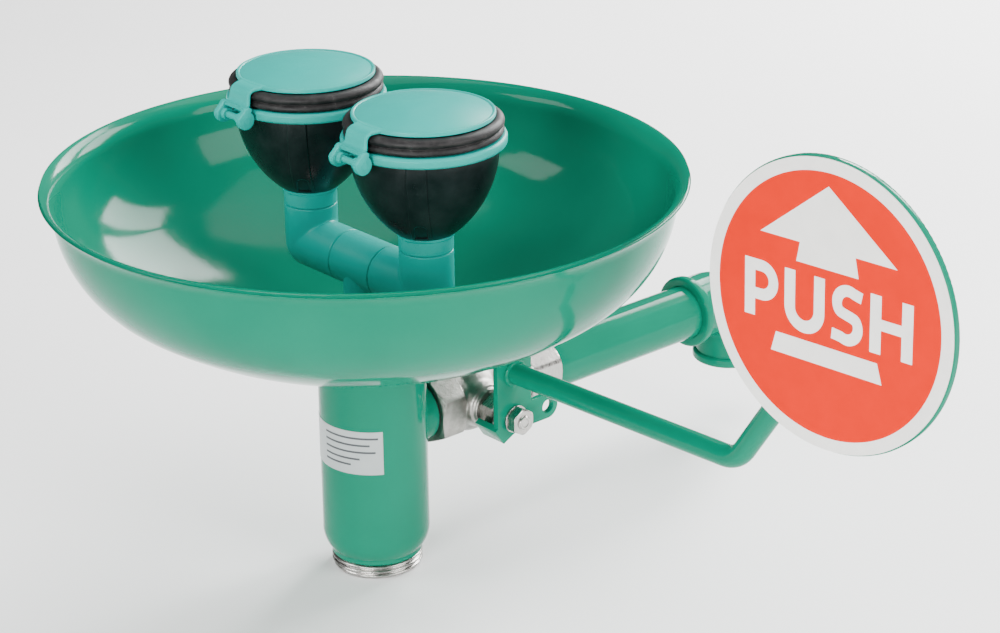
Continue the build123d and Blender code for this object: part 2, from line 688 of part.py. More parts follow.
def make_lever_nut():
    face = plate_x[1] + washer_t
    nut = hexagon((face, valve_y, supply_z), (1, 0, 0), nut_h, nut_af, 0)
    return nut - rod((0, valve_y, supply_z), (1, 0, 0), 60, stem_r + 0.02)


def build_nodes():
    """Every node's name with its solid or group of solids."""
    boss_ring = valve_hex_y[0] - boss_end_y
    nodes = {
        "bowl": make_bowl(),
        "bowl_gasket": pipe_z(body_r - gap, bowl_hole_r, body_top_z, bowl_base_z),
        "flange_seal": pipe_z(flange_r - 0.5, bowl_hole_r, bowl_floor_z, flange_z),
        "waste_flange": make_waste_flange(),
        "strainer": make_strainer(),
        "strainer_screws": make_strainer_screws(),
        "riser_grommet": pipe_z(tee_foot_r - thin, riser_r + slip, strainer_z - 2, tee_foot_z - 0.1),
        "drain_body": make_drain_body(),
        "outlet_nipple": make_outlet_nipple(),
        "body_label": make_body_label(),
        "inner_elbow": make_inner_elbow(),
        "riser_tube": pipe_z(riser_r, riser_bore_r, body_top_z - gasket_t - 15.8, yoke_z - yoke_r + 1),
        "inlet_nipple": pipe_y(nipple_r, nipple_bore_r, 14.2, valve_hex_y[1] - 2.2),
        "boss_seal": pipe_y(boss_r - 0.6, nipple_r + slip, boss_end_y, boss_end_y + boss_ring),
        "yoke_tee": make_yoke_tee(),
        "valve_body": make_valve_body(),
        "valve_end": make_valve_end(),
        "valve_seats": make_valve_seats(),
        "stem_packing": pipe_x(6.5 - slip, stem_r + run_fit, chamber_r + 2.2, housing_end_x - slip),
        "gland_nut": make_gland_nut(),
        "pipe_seal": pipe_y(pipe_r + 0.4, pipe_r - pipe_wall, valve_end_hex_y[1], pipe_start_y),
        "supply_pipe": make_supply_pipe(),
        "supply_elbow": make_supply_elbow(),
        "valve_ball": make_valve_ball(),
        "valve_stem": make_valve_stem(),
        "lever_bracket": make_bracket(),
        "lever_rod": make_lever_rod(),
        "push_plate": make_push_plate(),
        "push_sign": make_push_sign(),
        "lever_washer": pipe_x(washer_r, stem_r + 0.02, plate_x[1], plate_x[1] + washer_t),
        "lever_nut": make_lever_nut(),
    }
    for word, side in (("left", -1), ("right", 1)):
        nodes["yoke_elbow_" + word] = make_yoke_elbow(side)
        head = {
            "neck_collar": make_neck_collar(),
            "flow_regulator": make_flow_regulator(),
            "cup": make_cup(),
            "spray_plate": make_spray_plate(),
            "retaining_ring": make_ring(),
            "hinge_pin": make_hinge_pin(),
            "cuff": make_cuff(),
            "cap": make_cap(),
            "cap_liner": make_cap_liner(),
        }
        for name, solid in head.items():
            nodes[name + "_" + word] = at_head(solid, side)
    return nodes


if __name__ == "__main__":
    os.makedirs("parts", exist_ok=True)
    for name, shape in build_nodes().items():
        solids = shape if isinstance(shape, list) else shape.solids()
        body = solids[0] if len(solids) == 1 else Compound(children=list(solids))
        export_step(body, "parts/" + name + ".step")
        print(name, len(solids), round(sum(s.volume for s in solids), 1))
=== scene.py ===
# Emergency eye and face wash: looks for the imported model. Metres, same frame as the part.
import json
import math

import bmesh
import bpy
from mathutils import Matrix, Vector, noise


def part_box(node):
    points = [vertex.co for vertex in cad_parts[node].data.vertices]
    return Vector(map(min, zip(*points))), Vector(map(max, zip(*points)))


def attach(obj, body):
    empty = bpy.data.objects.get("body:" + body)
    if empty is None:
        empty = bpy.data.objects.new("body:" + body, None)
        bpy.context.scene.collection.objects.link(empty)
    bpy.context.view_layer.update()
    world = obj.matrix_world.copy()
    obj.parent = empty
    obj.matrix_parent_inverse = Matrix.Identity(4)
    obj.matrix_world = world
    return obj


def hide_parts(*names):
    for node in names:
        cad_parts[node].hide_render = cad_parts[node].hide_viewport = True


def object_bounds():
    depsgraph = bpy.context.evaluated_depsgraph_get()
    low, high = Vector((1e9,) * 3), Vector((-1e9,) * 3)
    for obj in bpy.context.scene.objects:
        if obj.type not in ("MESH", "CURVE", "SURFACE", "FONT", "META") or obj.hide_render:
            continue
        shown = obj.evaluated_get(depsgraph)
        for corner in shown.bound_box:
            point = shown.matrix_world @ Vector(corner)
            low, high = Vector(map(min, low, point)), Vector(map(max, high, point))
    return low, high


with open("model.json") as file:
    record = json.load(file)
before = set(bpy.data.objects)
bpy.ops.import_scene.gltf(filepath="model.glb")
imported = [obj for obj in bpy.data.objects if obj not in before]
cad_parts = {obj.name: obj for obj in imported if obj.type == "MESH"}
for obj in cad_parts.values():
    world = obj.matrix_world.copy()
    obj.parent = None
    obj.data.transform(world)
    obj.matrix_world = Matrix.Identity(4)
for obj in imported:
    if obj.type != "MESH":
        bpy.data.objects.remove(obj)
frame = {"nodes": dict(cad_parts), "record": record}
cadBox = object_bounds()
nodes = frame["nodes"]
joints = {joint["name"]: joint for joint in frame["record"]["behaviour"]["joints"]}
mounts = {mount["name"]: mount for mount in frame["record"]["mounts"]}
mm = 0.001
leverPivot = Vector(joints["lever_turn"]["pos_m"])
print("frame loaded,", len(nodes), "parts")


# small mesh tools

def middle(name):
    low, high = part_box(name)
    return (Vector(low) + Vector(high)) / 2


def newPiece(name, mesh, material, body):
    piece = bpy.data.objects.new(name, mesh)
    bpy.context.scene.collection.objects.link(piece)
    if material is not None:
        mesh.materials.append(material)
    if body is not None:
        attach(piece, body)
    return piece


def shadeSmooth(mesh, sharpAngle=35.0):
    for polygon in mesh.polygons:
        polygon.use_smooth = True
    mesh.set_sharp_from_angle(angle=math.radians(sharpAngle))


def meshFrom(name, bm, sharpAngle=35.0):
    bmesh.ops.recalc_face_normals(bm, faces=bm.faces)
    mesh = bpy.data.meshes.new(name)
    bm.to_mesh(mesh)
    bm.free()
    shadeSmooth(mesh, sharpAngle)
    return mesh


def bridge(bm, rings, around=True, ended=False):
    # faces from each ring to the next; around closes every ring, ended caps the first and the last
    for low, high in zip(rings[:-1], rings[1:]):
        count = len(low)
        for i in range(count if around else count - 1):
            j = (i + 1) % count
            bm.faces.new((low[i], low[j], high[j], high[i]))
    if ended:
        bm.faces.new(rings[0][::-1])
        bm.faces.new(rings[-1])


def applyModifiers(piece):
    # bake the modifiers into the mesh, so the piece carries none
    graph = bpy.context.evaluated_depsgraph_get()
    baked = bpy.data.meshes.new_from_object(piece.evaluated_get(graph))
    piece.modifiers.clear()
    piece.data = baked


def bevelPiece(piece, width, segments=3, limit=30.0):
    bevel = piece.modifiers.new("edge", "BEVEL")
    bevel.width = width
    bevel.segments = segments
    bevel.limit_method = "ANGLE"
    bevel.angle_limit = math.radians(limit)
    bevel.harden_normals = False
    applyModifiers(piece)
    shadeSmooth(piece.data, 40.0)


def arcPoints(centre, radius, start, turn, steps):
    # points of an arc in the half outline, angles in degrees
    found = []
    for i in range(steps + 1):
        a = math.radians(start + turn * i / steps)
        found.append((centre[0] + radius * math.cos(a), centre[1] + radius * math.sin(a)))
    return found


def smoothOutline(points, rounds=2):
    # corner cutting, keeps the two ends
    for _ in range(rounds):
        cut = [points[0]]
        for a, b in zip(points[:-1], points[1:]):
            cut.append(tuple(p * 0.75 + q * 0.25 for p, q in zip(a, b)))
            cut.append(tuple(p * 0.25 + q * 0.75 for p, q in zip(a, b)))
        cut.append(points[-1])
        points = cut
    return points


def latheMesh(name, outline, centre=(0, 0), segments=128, closed=True, sharpAngle=35.0):
    # turn a half outline (radius, height) about an upright axis; a closed outline makes a solid ring
    bm = bmesh.new()
    rings = []
    for radius, height in outline:
        if radius < 1e-6:
            rings.append([bm.verts.new((centre[0], centre[1], height))])
            continue
        ring = []
        for i in range(segments):
            a = 2 * math.pi * i / segments
            x, y = centre[0] + radius * math.cos(a), centre[1] + radius * math.sin(a)
            ring.append(bm.verts.new((x, y, height)))
        rings.append(ring)
    pairs = list(zip(rings[:-1], rings[1:]))
    if closed:
        pairs.append((rings[-1], rings[0]))
    for low, high in pairs:
        if len(low) == 1 and len(high) == 1:
            continue
        for i in range(segments):
            j = (i + 1) % segments
            if len(low) == 1:
                bm.faces.new((low[0], high[i], high[j]))
            elif len(high) == 1:
                bm.faces.new((low[i], low[j], high[0]))
            else:
                bm.faces.new((low[i], low[j], high[j], high[i]))
    return meshFrom(name, bm, sharpAngle)


def latheAlong(name, outline, origin, axis, segments=128, sharpAngle=35.0):
    # a turned piece about any axis; the outline is (radius, distance along the axis)
    mesh = latheMesh(name, outline, (0, 0), segments, True, sharpAngle)
    turn = Vector(axis).to_track_quat("Z", "Y").to_matrix().to_4x4()
    mesh.transform(Matrix.Translation(origin) @ turn)
    return mesh


hexagon = {
    "tipOff": 0.35 * mm,       # turned off the corners
    "faceCut": 0.25 * mm,      # how far the chamfer runs into the flats
    "slope": 0.6, "steps": 4,
    "segments": 120,
}


def hexMesh(name, start, axis, corner, length, flats, bore):
    # a hexagonal bar with turned chamfers at its corners and a bore
    axis, side = Vector(axis), Vector(corner)
    up = axis.cross(side)
    apothem = flats / 2
    tip = apothem / math.cos(math.radians(30)) - hexagon["tipOff"]
    rise = (tip - apothem) * hexagon["slope"]
    foot = apothem - hexagon["faceCut"]
    steps, segments = hexagon["steps"], hexagon["segments"]
    chamfer = [(rise * k / steps, foot + (tip - foot) * k / steps) for k in range(steps + 1)]
    farChamfer = [(length - at, limit) for at, limit in reversed(chamfer)]
    rows = [(0, bore)] + chamfer + farChamfer + [(length, bore)]
    bm = bmesh.new()
    rings = []
    for at, limit in rows:
        ring = []
        for i in range(segments):
            a = 2 * math.pi * i / segments
            radius = min(apothem / math.cos(a % math.radians(60) - math.radians(30)), limit)
            out = side * math.cos(a) + up * math.sin(a)
            ring.append(bm.verts.new(Vector(start) + axis * at + out * radius))
        rings.append(ring)
    bridge(bm, rings + rings[:1])
    return meshFrom(name, bm, 22)


def cornerWay(node, centre, axis):
    # direction of a hexagon's corner, taken from the part itself
    axis = Vector(axis)
    flat = [(v.co - centre) - axis * (v.co - centre).dot(axis) for v in nodes[node].data.vertices]
    return max(flat, key=lambda way: way.length).normalized()


def fused(name, shapes, voxel, rounds, material, body):
    # melt simple closed shapes into one skin and soften their corners
    bm = bmesh.new()
    for kind, matrix, sizes in shapes:
        if kind == "ball":
            bmesh.ops.create_uvsphere(bm, u_segments=64, v_segments=32, radius=sizes[0], matrix=matrix)
        else:
            bmesh.ops.create_cone(bm, cap_ends=True, segments=96, radius1=sizes[0], radius2=sizes[1],
                                  depth=sizes[2], matrix=matrix)
    mesh = bpy.data.meshes.new(name)
    bm.to_mesh(mesh)
    bm.free()
    piece = newPiece(name, mesh, material, body)
    skin = piece.modifiers.new("skin", "REMESH")
    skin.mode = "VOXEL"
    skin.voxel_size = voxel
    soften = piece.modifiers.new("soften", "SMOOTH")
    soften.factor = 0.5
    soften.iterations = rounds
    applyModifiers(piece)
    shadeSmooth(piece.data, 60)
    return piece


def barShape(start, end, radius, endRadius=None):
    # a round bar between two points, for fused()
    start, end = Vector(start), Vector(end)
    turn = (end - start).to_track_quat("Z", "Y").to_matrix().to_4x4()
    sizes = (radius, radius if endRadius is None else endRadius, (end - start).length)
    return ("bar", Matrix.Translation((start + end) / 2) @ turn, sizes)


def ballShape(centre, radius):
    return ("ball", Matrix.Translation(centre), (radius,))


# materials

def newMaterial(name, colour, roughness, metallic=0.0, shine=None):
    material = bpy.data.materials.new(name)
    material.use_nodes = True
    shader = material.node_tree.nodes["Principled BSDF"]
    shader.inputs["Base Color"].default_value = (*colour, 1)
    shader.inputs["Roughness"].default_value = roughness
    shader.inputs["Metallic"].default_value = metallic
    if shine is not None:
        shader.inputs["Specular IOR Level"].default_value = shine
    return material, material.node_tree, shader


def noiseNode(tree, scale, detail=3.0, rough=0.5, stretch=None):
    # noise on the piece's own coordinates
    coords = tree.nodes.new("ShaderNodeTexCoord")
    out = coords.outputs["Object"]
    if stretch is not None:
        mapping = tree.nodes.new("ShaderNodeMapping")
        mapping.inputs["Scale"].default_value = stretch
        tree.links.new(out, mapping.inputs["Vector"])
        out = mapping.outputs["Vector"]
    cloud = tree.nodes.new("ShaderNodeTexNoise")
    cloud.inputs["Scale"].default_value = scale
    cloud.inputs["Detail"].default_value = detail
    cloud.inputs["Roughness"].default_value = rough
    tree.links.new(out, cloud.inputs["Vector"])
    return cloud.outputs["Fac"]


def ramp(tree, source, stops):
    node = tree.nodes.new("ShaderNodeValToRGB")
    tree.links.new(source, node.inputs["Fac"])
    elements = node.color_ramp.elements
    while len(elements) < len(stops):
        elements.new(0.5)
    for element, (place, colour) in zip(elements, stops):
        element.position = place
        element.color = (*colour, 1) if len(colour) == 3 else (colour[0],) * 3 + (1,)
    return node.outputs["Color"]


def rangeNode(tree, source, low, high, fromLow=0.3, fromHigh=0.7):
    node = tree.nodes.new("ShaderNodeMapRange")
    node.inputs["From Min"].default_value = fromLow
    node.inputs["From Max"].default_value = fromHigh
    node.inputs["To Min"].default_value = low
    node.inputs["To Max"].default_value = high
    tree.links.new(source, node.inputs["Value"])
    return node.outputs["Result"]


def addBump(tree, shader, layers):
    # stack of (height source, strength, distance)
    previous = None
    for source, strength, distance in layers:
        bump = tree.nodes.new("ShaderNodeBump")
        bump.inputs["Strength"].default_value = strength
        bump.inputs["Distance"].default_value = distance
        tree.links.new(source, bump.inputs["Height"])
        if previous is not None:
            tree.links.new(previous, bump.inputs["Normal"])
        previous = bump.outputs["Normal"]
    tree.links.new(previous, shader.inputs["Normal"])


def greenPowderCoat():
    # glossy enamel with a faint orange peel and a slow shift of tone
    material, tree, shader = newMaterial("greenPowderCoat", (0.0012, 0.15, 0.088), 0.1, shine=0.08)
    tone = noiseNode(tree, 14, 2, 0.5)
    colour = ramp(tree, tone, [(0.35, (0.0008, 0.142, 0.083)), (0.65, (0.0014, 0.162, 0.096))])
    tree.links.new(colour, shader.inputs["Base Color"])
    tree.links.new(rangeNode(tree, noiseNode(tree, 60, 4, 0.6), 0.07, 0.14), shader.inputs["Roughness"])
    addBump(tree, shader, [(noiseNode(tree, 420, 2, 0.4), 0.05, 0.0004)])
    return material


def tealPlastic():
    # satin moulded plastic, softly mottled
    material, tree, shader = newMaterial("tealPlastic", (0.004, 0.31, 0.27), 0.3, shine=0.14)
    tone = noiseNode(tree, 30, 3, 0.5)
    colour = ramp(tree, tone, [(0.3, (0.003, 0.297, 0.257)), (0.7, (0.006, 0.325, 0.285))])
    tree.links.new(colour, shader.inputs["Base Color"])
    tree.links.new(rangeNode(tree, noiseNode(tree, 180, 3, 0.6), 0.3, 0.42), shader.inputs["Roughness"])
    addBump(tree, shader, [(noiseNode(tree, 1400, 2, 0.5), 0.05, 0.0002)])
    return material


def blackPlastic():
    material, tree, shader = newMaterial("blackPlastic", (0.006, 0.009, 0.01), 0.3, shine=0.3)
    smudge = noiseNode(tree, 55, 5, 0.65)
    colour = ramp(tree, smudge, [(0.4, (0.004, 0.006, 0.007)), (0.75, (0.012, 0.017, 0.018))])
    tree.links.new(colour, shader.inputs["Base Color"])
    tree.links.new(rangeNode(tree, smudge, 0.24, 0.42), shader.inputs["Roughness"])
    addBump(tree, shader, [(noiseNode(tree, 900, 3, 0.5), 0.06, 0.0003)])
    return material


def blackRubber():
    # dull rubber with a dusty bloom and fine scuffs
    material, tree, shader = newMaterial("blackRubber", (0.01, 0.009, 0.0095), 0.55, shine=0.25)
    dust = noiseNode(tree, 260, 8, 0.75)
    colour = ramp(tree, dust, [(0.42, (0.007, 0.0065, 0.007)), (0.6, (0.02, 0.019, 0.019)),
                               (0.76, (0.09, 0.085, 0.085))])
    tree.links.new(colour, shader.inputs["Base Color"])
    tree.links.new(rangeNode(tree, dust, 0.42, 0.7), shader.inputs["Roughness"])
    addBump(tree, shader, [(noiseNode(tree, 1500, 4, 0.6), 0.18, 0.0004)])
    return material


def castSteel():
    # blasted casting, warm grey, pitted
    material, tree, shader = newMaterial("castSteel", (0.3, 0.29, 0.27), 0.36, 1.0)
    tone = noiseNode(tree, 120, 6, 0.6)
    colour = ramp(tree, tone, [(0.3, (0.2, 0.195, 0.18)), (0.7, (0.4, 0.385, 0.36))])
    tree.links.new(colour, shader.inputs["Base Color"])
    tree.links.new(rangeNode(tree, noiseNode(tree, 300, 5, 0.6), 0.28, 0.48), shader.inputs["Roughness"])
    pits, grit = noiseNode(tree, 650, 5, 0.6), noiseNode(tree, 2600, 3, 0.6)
    addBump(tree, shader, [(pits, 0.25, 0.0006), (grit, 0.12, 0.0003)])
    return material


def turnedSteel(name, stretch, roughness=0.24):
    # turned or drawn bar with fine lines across the stretch direction
    material, tree, shader = newMaterial(name, (0.42, 0.41, 0.39), roughness, 1.0)
    lines = noiseNode(tree, 900, 3, 0.7, stretch)
    colour = ramp(tree, lines, [(0.3, (0.33, 0.32, 0.305)), (0.7, (0.5, 0.485, 0.46))])
    tree.links.new(colour, shader.inputs["Base Color"])
    tree.links.new(rangeNode(tree, lines, roughness - 0.06, roughness + 0.1), shader.inputs["Roughness"])
    addBump(tree, shader, [(lines, 0.08, 0.0002)])
    return material


def turnedBrass():
    material, tree, shader = newMaterial("turnedBrass", (0.7, 0.5, 0.22), 0.28, 1.0)
    tone = noiseNode(tree, 200, 4, 0.6)
    colour = ramp(tree, tone, [(0.3, (0.58, 0.4, 0.17)), (0.7, (0.76, 0.56, 0.27))])
    tree.links.new(colour, shader.inputs["Base Color"])
    addBump(tree, shader, [(tone, 0.1, 0.0003)])
    return material


def plainFilm(name, colour, roughness=0.42, spread=0.03, shine=0.2):
    # printed film or smooth plastic
    material, tree, shader = newMaterial(name, colour, roughness, shine=shine)
    tone = noiseNode(tree, 90, 4, 0.55)
    dark = tuple(max(c * (1 - spread), 0) for c in colour)
    light = tuple(min(c * (1 + spread), 1) for c in colour)
    tree.links.new(ramp(tree, tone, [(0.35, dark), (0.65, light)]), shader.inputs["Base Color"])
    tree.links.new(rangeNode(tree, tone, roughness - 0.05, roughness + 0.06), shader.inputs["Roughness"])
    addBump(tree, shader, [(noiseNode(tree, 700, 3, 0.5), 0.04, 0.0002)])
    return material


enamel = greenPowderCoat()
plasticTeal = tealPlastic()
plasticBlack = blackPlastic()
rubber = blackRubber()
casting = castSteel()
steelAlongY = turnedSteel("steelAlongY", (0.2, 6, 0.2))
steelAlongX = turnedSteel("steelAlongX", (6, 0.2, 0.2))
steelUpright = turnedSteel("steelUpright", (0.2, 0.2, 6))
brass = turnedBrass()
ptfe = plainFilm("whitePtfe", (0.86, 0.86, 0.84), 0.35)
# the label film's grey is painted shade: its colour is darkened to stand in for the shade the bowl casts over
# the label
labelFilm = plainFilm("labelFilm", (0.36, 0.39, 0.39), 0.35)
labelInk = plainFilm("labelInk", (0.06, 0.065, 0.07), 0.5)
signWhite = plainFilm("signWhite", (0.82, 0.81, 0.775), 0.38)
signOrange = plainFilm("signOrange", (0.62, 0.012, 0.0004), 0.5, 0.03, 0.03)
print("materials made")


def finishCad(name, material):
    # give a carried CAD part its finish
    thing = nodes[name]
    thing.data.materials.clear()
    thing.data.materials.append(material)


cadFinish = {
    "drain_body": enamel, "supply_pipe": enamel, "supply_elbow": enamel, "push_plate": enamel,
    "lever_bracket": enamel, "lever_rod": enamel, "bowl": enamel,
    "bowl_gasket": rubber, "flange_seal": rubber, "riser_grommet": rubber, "boss_seal": rubber,
    "pipe_seal": rubber,
    "waste_flange": steelUpright, "strainer": steelUpright, "strainer_screws": steelUpright,
    "outlet_nipple": steelUpright,
    "valve_body": casting, "valve_end": steelAlongY, "gland_nut": steelAlongX, "valve_ball": steelUpright,
    "valve_stem": steelAlongX, "lever_washer": steelAlongX, "lever_nut": steelAlongX,
    "inner_elbow": brass, "riser_tube": brass, "inlet_nipple": brass,
    "valve_seats": ptfe, "stem_packing": ptfe, "body_label": labelFilm, "push_sign": signWhite,
    "yoke_tee": plasticTeal,
}
for side in ("left", "right"):
    for name in ("yoke_elbow_", "neck_collar_", "retaining_ring_", "hinge_pin_", "cap_"):
        cadFinish[name + side] = plasticTeal
    for name in ("cup_", "flow_regulator_", "spray_plate_"):
        cadFinish[name + side] = plasticBlack
    for name in ("cuff_", "cap_liner_"):
        cadFinish[name + side] = rubber
for name, material in cadFinish.items():
    finishCad(name, material)
print("CAD parts finished:", len(cadFinish))


def scaled(points):
    return [(x * mm, y * mm) for x, y in points]


# copies of CAD shapes with their edges eased

def easedCopy(name, node, material, body, width, segments=3, limit=32.0):
    # weld a CAD part's mesh, join its flat facets and round its sharp edges
    source = nodes[node].data
    bm = bmesh.new()
    bm.from_mesh(source)
    bmesh.ops.remove_doubles(bm, verts=bm.verts, dist=0.00001)
    bmesh.ops.dissolve_limit(bm, angle_limit=math.radians(0.8), verts=bm.verts, edges=bm.edges)
    mesh = bpy.data.meshes.new(name)
    bm.to_mesh(mesh)
    bm.free()
    piece = newPiece(name, mesh, None, body)
    mesh.materials.clear()
    mesh.materials.append(material)
    bevelPiece(piece, width, segments, limit)
    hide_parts(node)
    return piece


# bowl

bowl = {
    "wall": 2.0 * mm,
    "flat": 30.0 * mm, "toe": 120.0 * mm, "heel": 52.0 * mm, "lip": 8.0 * mm,   # arc radii
    "turns": (16.0, 18.0, 51.0), "lipTurn": 65.0,                              # degrees
    "hole": 19.2 * mm,
    "steps": (14, 18, 30, 2, 20), "crownSteps": 10,                            # on each run, and over the lip
    "segments": 240,
}


def bowlOutline(rim, base, top):
    # same chain of arcs as the part: belly radius and side height come from the rim's size
    a = math.radians(bowl["turns"][0])
    b = a + math.radians(bowl["turns"][1])
    c = b + math.radians(bowl["turns"][2])
    d = c - math.radians(bowl["lipTurn"])
    wall = bowl["wall"]
    needR = rim - bowl["flat"] - bowl["toe"] * math.sin(a) - bowl["heel"] * (math.sin(c) - math.sin(b))
    needR -= bowl["lip"] * (math.sin(c) - math.sin(d)) + wall / 2 * math.cos(d)
    needZ = top - base - bowl["toe"] * (1 - math.cos(a)) - bowl["heel"] * (math.cos(b) - math.cos(c))
    needZ -= bowl["lip"] * (math.cos(d) - math.cos(c)) + wall
    det = (math.sin(b) - math.sin(a)) * math.sin(c) - (math.cos(a) - math.cos(b)) * math.cos(c)
    belly = (needR * math.sin(c) - needZ * math.cos(c)) / det
    side = (needZ * (math.sin(b) - math.sin(a)) - needR * (math.cos(a) - math.cos(b))) / det

    def face(inset):
        points = [(bowl["hole"], base + inset), (bowl["flat"], base + inset)]
        heading = 0.0
        runs = ((bowl["toe"] - inset, a), (belly - inset, b - a), (bowl["heel"] - inset, c - b),
                (0, side), (-(bowl["lip"] + inset), c - d))
        for (radius, amount), steps in zip(runs, bowl["steps"]):
            for _ in range(steps):
                x, z = points[-1]
                step = amount / steps
                if radius == 0:
                    points.append((x + math.cos(heading) * step, z + math.sin(heading) * step))
                    continue
                before = heading
                heading += step if radius > 0 else -step
                points.append((x + radius * (math.sin(heading) - math.sin(before)),
                               z + radius * (math.cos(before) - math.cos(heading))))
        return points

    outer = face(0)
    inner = face(wall)
    (ax, az), (bx, bz) = outer[-1], inner[-1]
    start = math.degrees(math.atan2(az - bz, ax - bx))
    crown = arcPoints(((ax + bx) / 2, (az + bz) / 2), wall / 2, start, -180, bowl["crownSteps"])[1:-1]
    return outer + crown + inner[::-1]


def makeBowl():
    low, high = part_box("bowl")
    reach = (high[0] - low[0] + high[1] - low[1]) / 4
    outline = bowlOutline(reach, low[2], high[2])
    reach += reach - max(radius for radius, height in outline)
    rise = high[2] - max(height for radius, height in outline)
    outline = bowlOutline(reach, low[2], high[2] + rise)
    mesh = latheMesh("bowlShell", outline, segments=bowl["segments"], sharpAngle=50)
    piece = newPiece("bowlShell", mesh, enamel, "station")
    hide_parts("bowl")


makeBowl()
print("bowl turned")


# threaded outlet

outlet = {
    "pitch": 2.309 * mm, "depth": 1.15 * mm,
    "bore": 16.0 * mm, "spigot": 18.0 * mm, "edge": 0.4 * mm,
    "crestPower": 0.8,         # under 1 rounds the crests
    "leadTurns": 0.7, "leadDepth": 0.9,   # how the thread starts at the open end
    "segments": 96, "stepsPerTurn": 12,
}


def makeOutletThread():
    # a real helical thread: the radius at each point follows the rise of the helix
    low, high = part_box("outlet_nipple")
    crest = high[0]
    shoulder = mounts["drain_outlet"]["dims"]["length_mm"] * mm
    rows = int(shoulder / outlet["pitch"] * outlet["stepsPerTurn"])
    segments = outlet["segments"]
    bm = bmesh.new()
    rings = []

    def ring(radiusAt, height):
        turned = []
        for i in range(segments):
            a = 2 * math.pi * i / segments
            turned.append(bm.verts.new((radiusAt(i) * math.cos(a), radiusAt(i) * math.sin(a), height)))
        rings.append(turned)

    ring(lambda i: outlet["bore"], low[2] + outlet["edge"])
    ring(lambda i: outlet["bore"] + outlet["edge"], low[2])
    for row in range(rows + 1):
        height = low[2] + shoulder * row / rows
        lead = min(1.0, row / outlet["stepsPerTurn"] / outlet["leadTurns"])

        def threadRadius(i):
            phase = (height / outlet["pitch"] - i / segments) % 1.0
            wave = 0.5 - 0.5 * math.cos(2 * math.pi * phase)
            groove = 1 - wave ** outlet["crestPower"]
            return crest - outlet["depth"] * (groove + outlet["leadDepth"] * (1 - lead) * wave)
        ring(threadRadius, height)
    spigot = outlet["spigot"]
    for radius, height in ((spigot, shoulder), (spigot, high[2]), (outlet["bore"], high[2])):
        ring(lambda i: radius, height)
    bridge(bm, rings + rings[:1])
    mesh = meshFrom("outletThread", bm, 60)
    piece = newPiece("outletThread", mesh, steelUpright, "station")
    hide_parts("outlet_nipple")


makeOutletThread()
print("outlet thread cut")


# spray heads

head = {
    "cupFoot": 13.0, "cupBelly": (26.4, 190.0), "cupTop": 32.2, "shoulder": 213.5, "lipTop": 218.2,
    "lipRadius": 32.0, "cupWall": 2.0, "footHole": 9.0,
    "innerBelly": (0.8, 0.6),            # inner wall's belly, in and up, in wall thicknesses
    "hingeAhead": 40.0,                  # cap hinge in front of the cup's axis
    "ringEdge": 0.3,                     # eased edge of the clamp ring
    "segments": 128,
}


def arcThrough(a, b, c, steps):
    # points of the arc through three points, ends included
    ax, ay, bx, by, cx, cy = *a, *b, *c
    aa, bb, cc = ax * ax + ay * ay, bx * bx + by * by, cx * cx + cy * cy
    d = 2 * (ax * (by - cy) + bx * (cy - ay) + cx * (ay - by))
    ux = (aa * (by - cy) + bb * (cy - ay) + cc * (ay - by)) / d
    uy = (aa * (cx - bx) + bb * (ax - cx) + cc * (bx - ax)) / d
    radius = math.hypot(ax - ux, ay - uy)
    start = math.atan2(ay - uy, ax - ux)
    midway = math.atan2(by - uy, bx - ux)
    end = math.atan2(cy - uy, cx - ux)
    turn = (end - start) % (2 * math.pi)
    if (midway - start) % (2 * math.pi) > turn:
        turn -= 2 * math.pi
    return arcPoints((ux, uy), radius, math.degrees(start), math.degrees(turn), steps)


def cupOutline():
    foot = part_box("cup_right")[0][2] / mm
    bellyR, bellyZ = head["cupBelly"]
    wall, lip, shoulder, hole = head["cupWall"], head["lipRadius"], head["shoulder"], head["footHole"]
    inward, upward = head["innerBelly"]
    outer = arcThrough((head["cupFoot"], foot), (bellyR, bellyZ), (head["cupTop"], shoulder), 40)
    inner = arcThrough((lip - wall, shoulder), (bellyR - wall * inward, bellyZ + wall * upward),
                       (head["cupFoot"] - wall, foot + wall), 30)
    outline = [(hole, foot)] + outer + [(lip, shoulder), (lip, head["lipTop"]), (lip - wall, head["lipTop"])]
    return scaled(outline + inner + [(hole, foot + wall)]), scaled(outer)


def outerRadiusAt(outer, height):
    for (r0, z0), (r1, z1) in zip(outer[:-1], outer[1:]):
        if z0 <= height <= z1:
            return r0 + (r1 - r0) * (height - z0) / (z1 - z0)
    return outer[-1][0]


rib = {
    "angles": (-46.0, 134.0),            # degrees round the cup
    "width": 8.4 * mm, "proud": 0.8 * mm, "ease": 0.6 * mm, "sunk": 0.25 * mm,
    "skirt": 1.12,                       # sides run this much wider, into the wall
    "above": 0.6 * mm, "short": 1.0 * mm,             # clear of the foot, and shorter than the wall
    "archWidth": 5.8 * mm, "archFoot": 2.2 * mm, "archTop": 10.5 * mm,
    "archDeep": 1.25 * mm, "archEase": 0.7 * mm,
    "columns": 36, "rows": 90,
}


